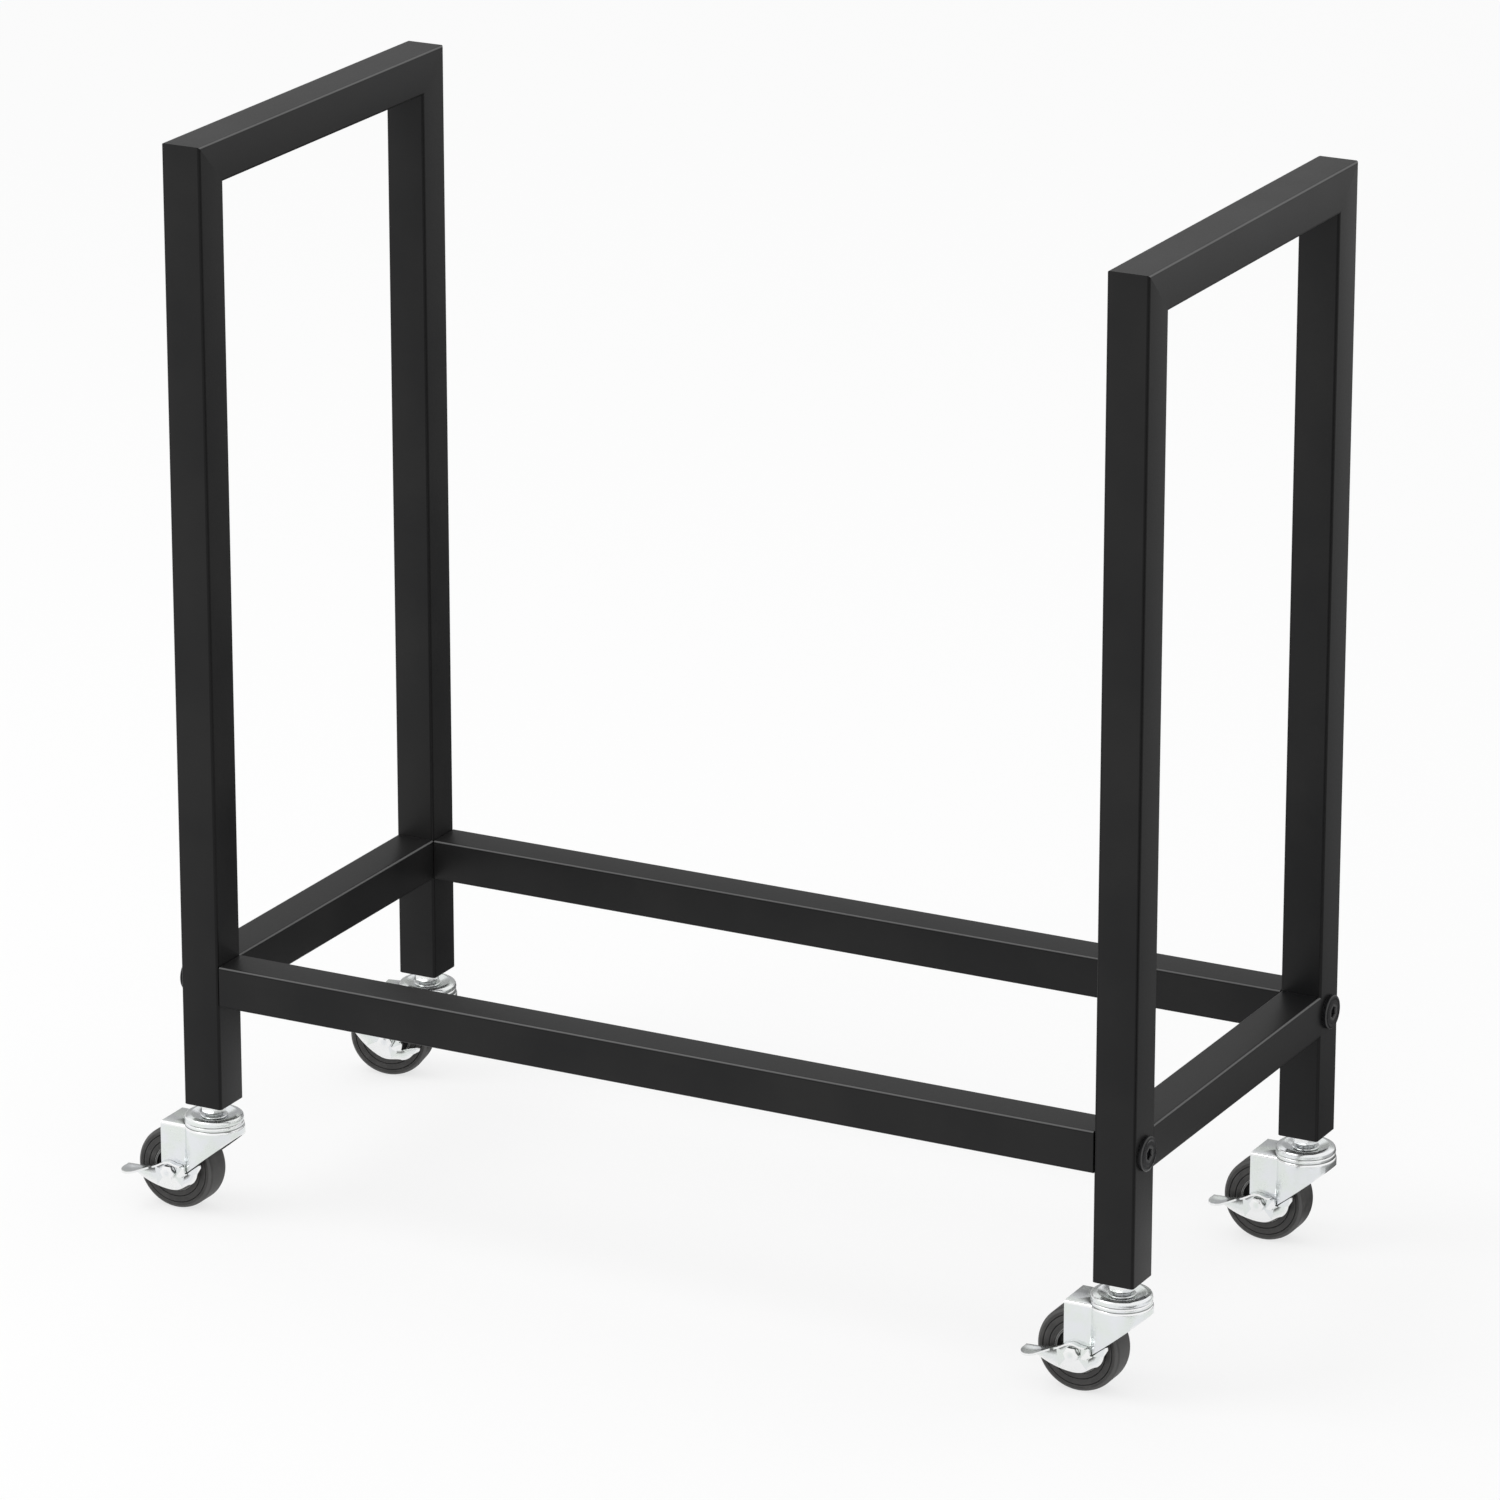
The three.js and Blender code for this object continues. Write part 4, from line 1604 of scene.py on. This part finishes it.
@dataclass
class Caster:
    """One braked swivel caster. Its meshes are shared by all four."""

    corner: Corner
    swivel: float = 0
    raised: float = 0
    trail: float = 22.5
    axle: float = 25

    @classmethod
    def meshes(cls) -> dict[str, bpy.types.Mesh]:
        """Builds each kind of piece once, in millimetres about its own axes."""
        axle, wheel = Axle(), Wheel()
        made = {
            "stem": Stem().draft().mesh("stem"),
            "cap": SwivelCap().draft().mesh("cap"),
            "fork": Fork().mesh(),
            "bolt": axle.bolt().mesh("axle_bolt"),
            "nut": axle.nut().mesh("axle_nut"),
            "hub": wheel.hub().mesh("hub"),
            "tyre": wheel.tyre().mesh("tyre"),
            "lever": BrakeLever().mesh(),
        }
        for kind in ("bolt", "nut", "hub", "tyre"):
            made[kind].transform(TIP_Y)
        return made

    def build(self, meshes: Mapping[str, bpy.types.Mesh]) -> list[bpy.types.Object]:
        """Stands the caster under its post.

        Args:
            meshes: The shared meshes.

        Returns:
            The pieces.
        """
        name = self.corner.value
        low, high = node_box(f"caster_stem_{name}")
        stem = Matrix.Translation(((low.x + high.x) / 2, (low.y + high.y) / 2, 0))
        turning = stem @ Matrix.Rotation(math.radians(self.swivel), 4, "Z")
        axle = turning @ Matrix.Translation((-self.trail, 0, self.axle))
        lever = axle @ Matrix.Rotation(math.radians(self.raised), 4, "Y")
        swivel, wheel, brake = (f"{body}_{name}" for body in ("swivel", "wheel", "brake"))
        plan = (
            ("stem", "threaded_stem", stem, ZINC_PLATE, "frame", "caster_stem"),
            ("cap", "race_cap", stem, ZINC_PLATE, "frame", "swivel_cap"),
            ("fork", "pressed_fork", turning, ZINC_PLATE, swivel, "fork"),
            ("bolt", "axle_screw", axle, ZINC_PLATE, swivel, "axle_bolt"),
            ("nut", "axle_end_nut", axle, ZINC_PLATE, swivel, "axle_nut"),
            ("hub", "moulded_hub", axle, HUB_NYLON, wheel, "wheel_hub"),
            ("tyre", "ringed_tyre", axle, TYRE_RUBBER, wheel, "tyre"),
            ("lever", "pedal_lever", lever, ZINC_PLATE, brake, "brake_lever"),
        )
        return [
            placed(f"{title}_{name}", meshes[kind], where, finish, body, [f"{node}_{name}"])
            for kind, title, where, finish, body, node in plan
        ]


@dataclass
class HiddenFittings:
    """The CAD solids that stay: threaded blocks, stem sockets and ball cages."""

    kinds: tuple[str, ...] = ("stem_socket", "rail_nut", "ball_cage")

    def dress(self) -> None:
        """Gives each of them its finish."""
        for kind in self.kinds:
            for corner in Corner:
                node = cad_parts[f"{kind}_{corner.value}"]
                node.data.materials.clear()
                node.data.materials.append(PLAIN_STEEL.material())
                log.info("%s: kept from the frame", node.name)


# ---------------------------------------------------------------------- studio


@dataclass
class Studio:
    """A pale floor, soft light and the camera."""

    camera_place: Point3 = (2.0138, -3.8132, 1.7487)
    azimuth: float = 27.67
    elevation: float = 18.67
    lens: float = 190.9
    sensor: float = 36
    clip: Point2 = (0.05, 100)
    back_card: Quad = ((-3, 3, 0.02), (3, 3, 0.02), (3, 3, 1.7), (-3, 3, 1.7))
    card_behind: Quad = (
        (-0.7, 0.15, 0.001), (0.45, 0.15, 0.001), (0.45, 3.4, 0.001), (-0.7, 3.4, 0.001)
    )
    card_right: Quad = (
        (0.45, 0.1, 0.001), (2.2, 0.1, 0.001), (2.2, 2.4, 0.001), (0.45, 2.4, 0.001)
    )
    card_front: Quad = (
        (0.56, -1.5, 0.001), (2.6, -1.5, 0.001), (2.6, -0.25, 0.001), (0.56, -0.25, 0.001)
    )
    back_tone: float = 0.42
    behind_tone: float = 0.16
    right_tone: float = 0.45
    front_tone: float = 0.02
    lamp_place: Point3 = (-1.25, -0.95, 2.35)
    lamp_size: float = 1.3
    lamp_watts: float = 15
    aim: Point3 = (0, 0, 0.3)
    floor_size: float = 40
    floor_tone: float = 0.95
    floor_lift: float = 0.72
    world_light: float = 0.88

    def build(self) -> None:
        """Builds the floor, the lights and the camera."""
        self._floor()
        self._world()
        self._lamp()
        turn = Matrix.Rotation(math.radians(self.azimuth), 4, "Z")
        back = [turn @ Vector(point) for point in self.back_card]
        self._card("back_card", back, self.back_tone)
        self._card("floor_card_behind", self.card_behind, self.behind_tone)
        self._card("floor_card_right", self.card_right, self.right_tone)
        self._card("floor_card_front", self.card_front, self.front_tone)
        self._camera()

    @staticmethod
    def _seen(graph: Graph) -> Socket:
        """1 for what the camera sees, straight, in a reflection or through glass."""
        camera, mirrored, through = (
            graph.node("ShaderNodeLightPath", output=f"Is {kind} Ray")
            for kind in ("Camera", "Glossy", "Transmission")
        )
        return graph.node(
            "ShaderNodeMath", {"operation": "MINIMUM"}, {0: camera + mirrored + through, 1: 1}
        )

    def _floor(self) -> None:
        """A pale floor that keeps the cart's shadow."""
        half = self.floor_size / 2
        corners = ((-half, -half, 0), (half, -half, 0), (half, half, 0), (-half, half, 0))
        floor, graph = self._sheet("pale_floor", corners)
        tone = (self.floor_tone,) * 3
        paper = graph.node("ShaderNodeBsdfDiffuse", {}, {"Color": (*tone, 1)})
        glow = graph.node("ShaderNodeEmission", {}, {"Color": (1, 1, 1, 1), "Strength": 1.0})
        share = self.floor_lift * self._seen(graph)
        mixed = graph.node("ShaderNodeMixShader", {}, {0: share, 1: paper, 2: glow})
        graph.node("ShaderNodeOutputMaterial", {}, {"Surface": mixed})

    @staticmethod
    def _sheet(
        name: str, corners: Sequence[Sequence[float]]
    ) -> tuple[bpy.types.Object, Graph]:
        """A flat sheet with a material of its own.

        Args:
            name: The name of both.
            corners: Its four corners, in metres.

        Returns:
            The sheet and its material's empty node tree.
        """
        mesh = bpy.data.meshes.new(name)
        mesh.from_pydata([tuple(corner) for corner in corners], [], [(0, 1, 2, 3)])
        sheet = bpy.data.objects.new(name, mesh)
        bpy.context.scene.collection.objects.link(sheet)
        material = bpy.data.materials.new(name)
        mesh.materials.append(material)
        return sheet, Graph(material)

    def _world(self) -> None:
        """A soft white room, which is seen as white."""
        world = bpy.data.worlds.new("studio_room")
        bpy.context.scene.world = world
        graph = Graph(world)
        strength = self.world_light + (1 - self.world_light) * self._seen(graph)
        white = {"Color": (1, 1, 1, 1), "Strength": strength}
        glow = graph.node("ShaderNodeBackground", {}, white)
        graph.node("ShaderNodeOutputWorld", {}, {"Surface": glow})

    def _lamp(self) -> None:
        """A square soft lamp that faces the middle of the cart."""
        data = bpy.data.lights.new("key_softbox", "AREA")
        data.shape = "SQUARE"
        data.size = self.lamp_size
        data.energy = self.lamp_watts
        lamp = bpy.data.objects.new("key_softbox", data)
        lamp.location = self.lamp_place
        away = Vector(self.lamp_place) - Vector(self.aim)
        lamp.rotation_euler = away.to_track_quat("Z", "Y").to_euler()
        bpy.context.scene.collection.objects.link(lamp)

    def _card(self, name: str, corners: Sequence[Sequence[float]], tone: float) -> None:
        """A plain card that only reflections see.

        Args:
            name: Its name.
            corners: Its four corners, in metres.
            tone: How bright it is, where 1 is white.
        """
        card, graph = self._sheet(name, corners)
        card.visible_camera = False
        card.visible_diffuse = False
        card.visible_shadow = False
        shine = {"Color": (tone, tone, tone, 1), "Strength": 1.0}
        grey = graph.node("ShaderNodeEmission", {}, shine)
        graph.node("ShaderNodeOutputMaterial", {}, {"Surface": grey})

    def _camera(self) -> None:
        """The camera, at the photograph's angle."""
        data = bpy.data.cameras.new("portrait")
        data.lens = self.lens
        data.sensor_width = self.sensor
        data.clip_start, data.clip_end = self.clip
        camera = bpy.data.objects.new("portrait", data)
        turn, rise = math.radians(self.azimuth), math.radians(self.elevation)
        back = Vector(
            (math.sin(turn) * math.cos(rise), -math.cos(turn) * math.cos(rise), math.sin(rise))
        )
        camera.location = self.camera_place
        camera.rotation_euler = back.to_track_quat("Z", "Y").to_euler()
        bpy.context.scene.collection.objects.link(camera)
        bpy.context.scene.camera = camera
        bpy.context.scene.view_settings.view_transform = "Standard"


def main() -> None:
    """Builds the cart and its studio."""
    logging.basicConfig(level=logging.INFO, format="%(name)s %(message)s")
    Studio().build()
    for side in (-1, 1):
        EndFrame(side).build()
    DeckRails().build()
    meshes = Caster.meshes()
    casters = (
        Caster(Corner.FRONT_LEFT),
        Caster(Corner.FRONT_RIGHT),
        Caster(Corner.REAR_RIGHT),
        Caster(Corner.REAR_LEFT, swivel=12, raised=28),
    )
    for caster in casters:
        caster.build(meshes)
    HiddenFittings().dress()


if __name__ == "__main__":
    main()
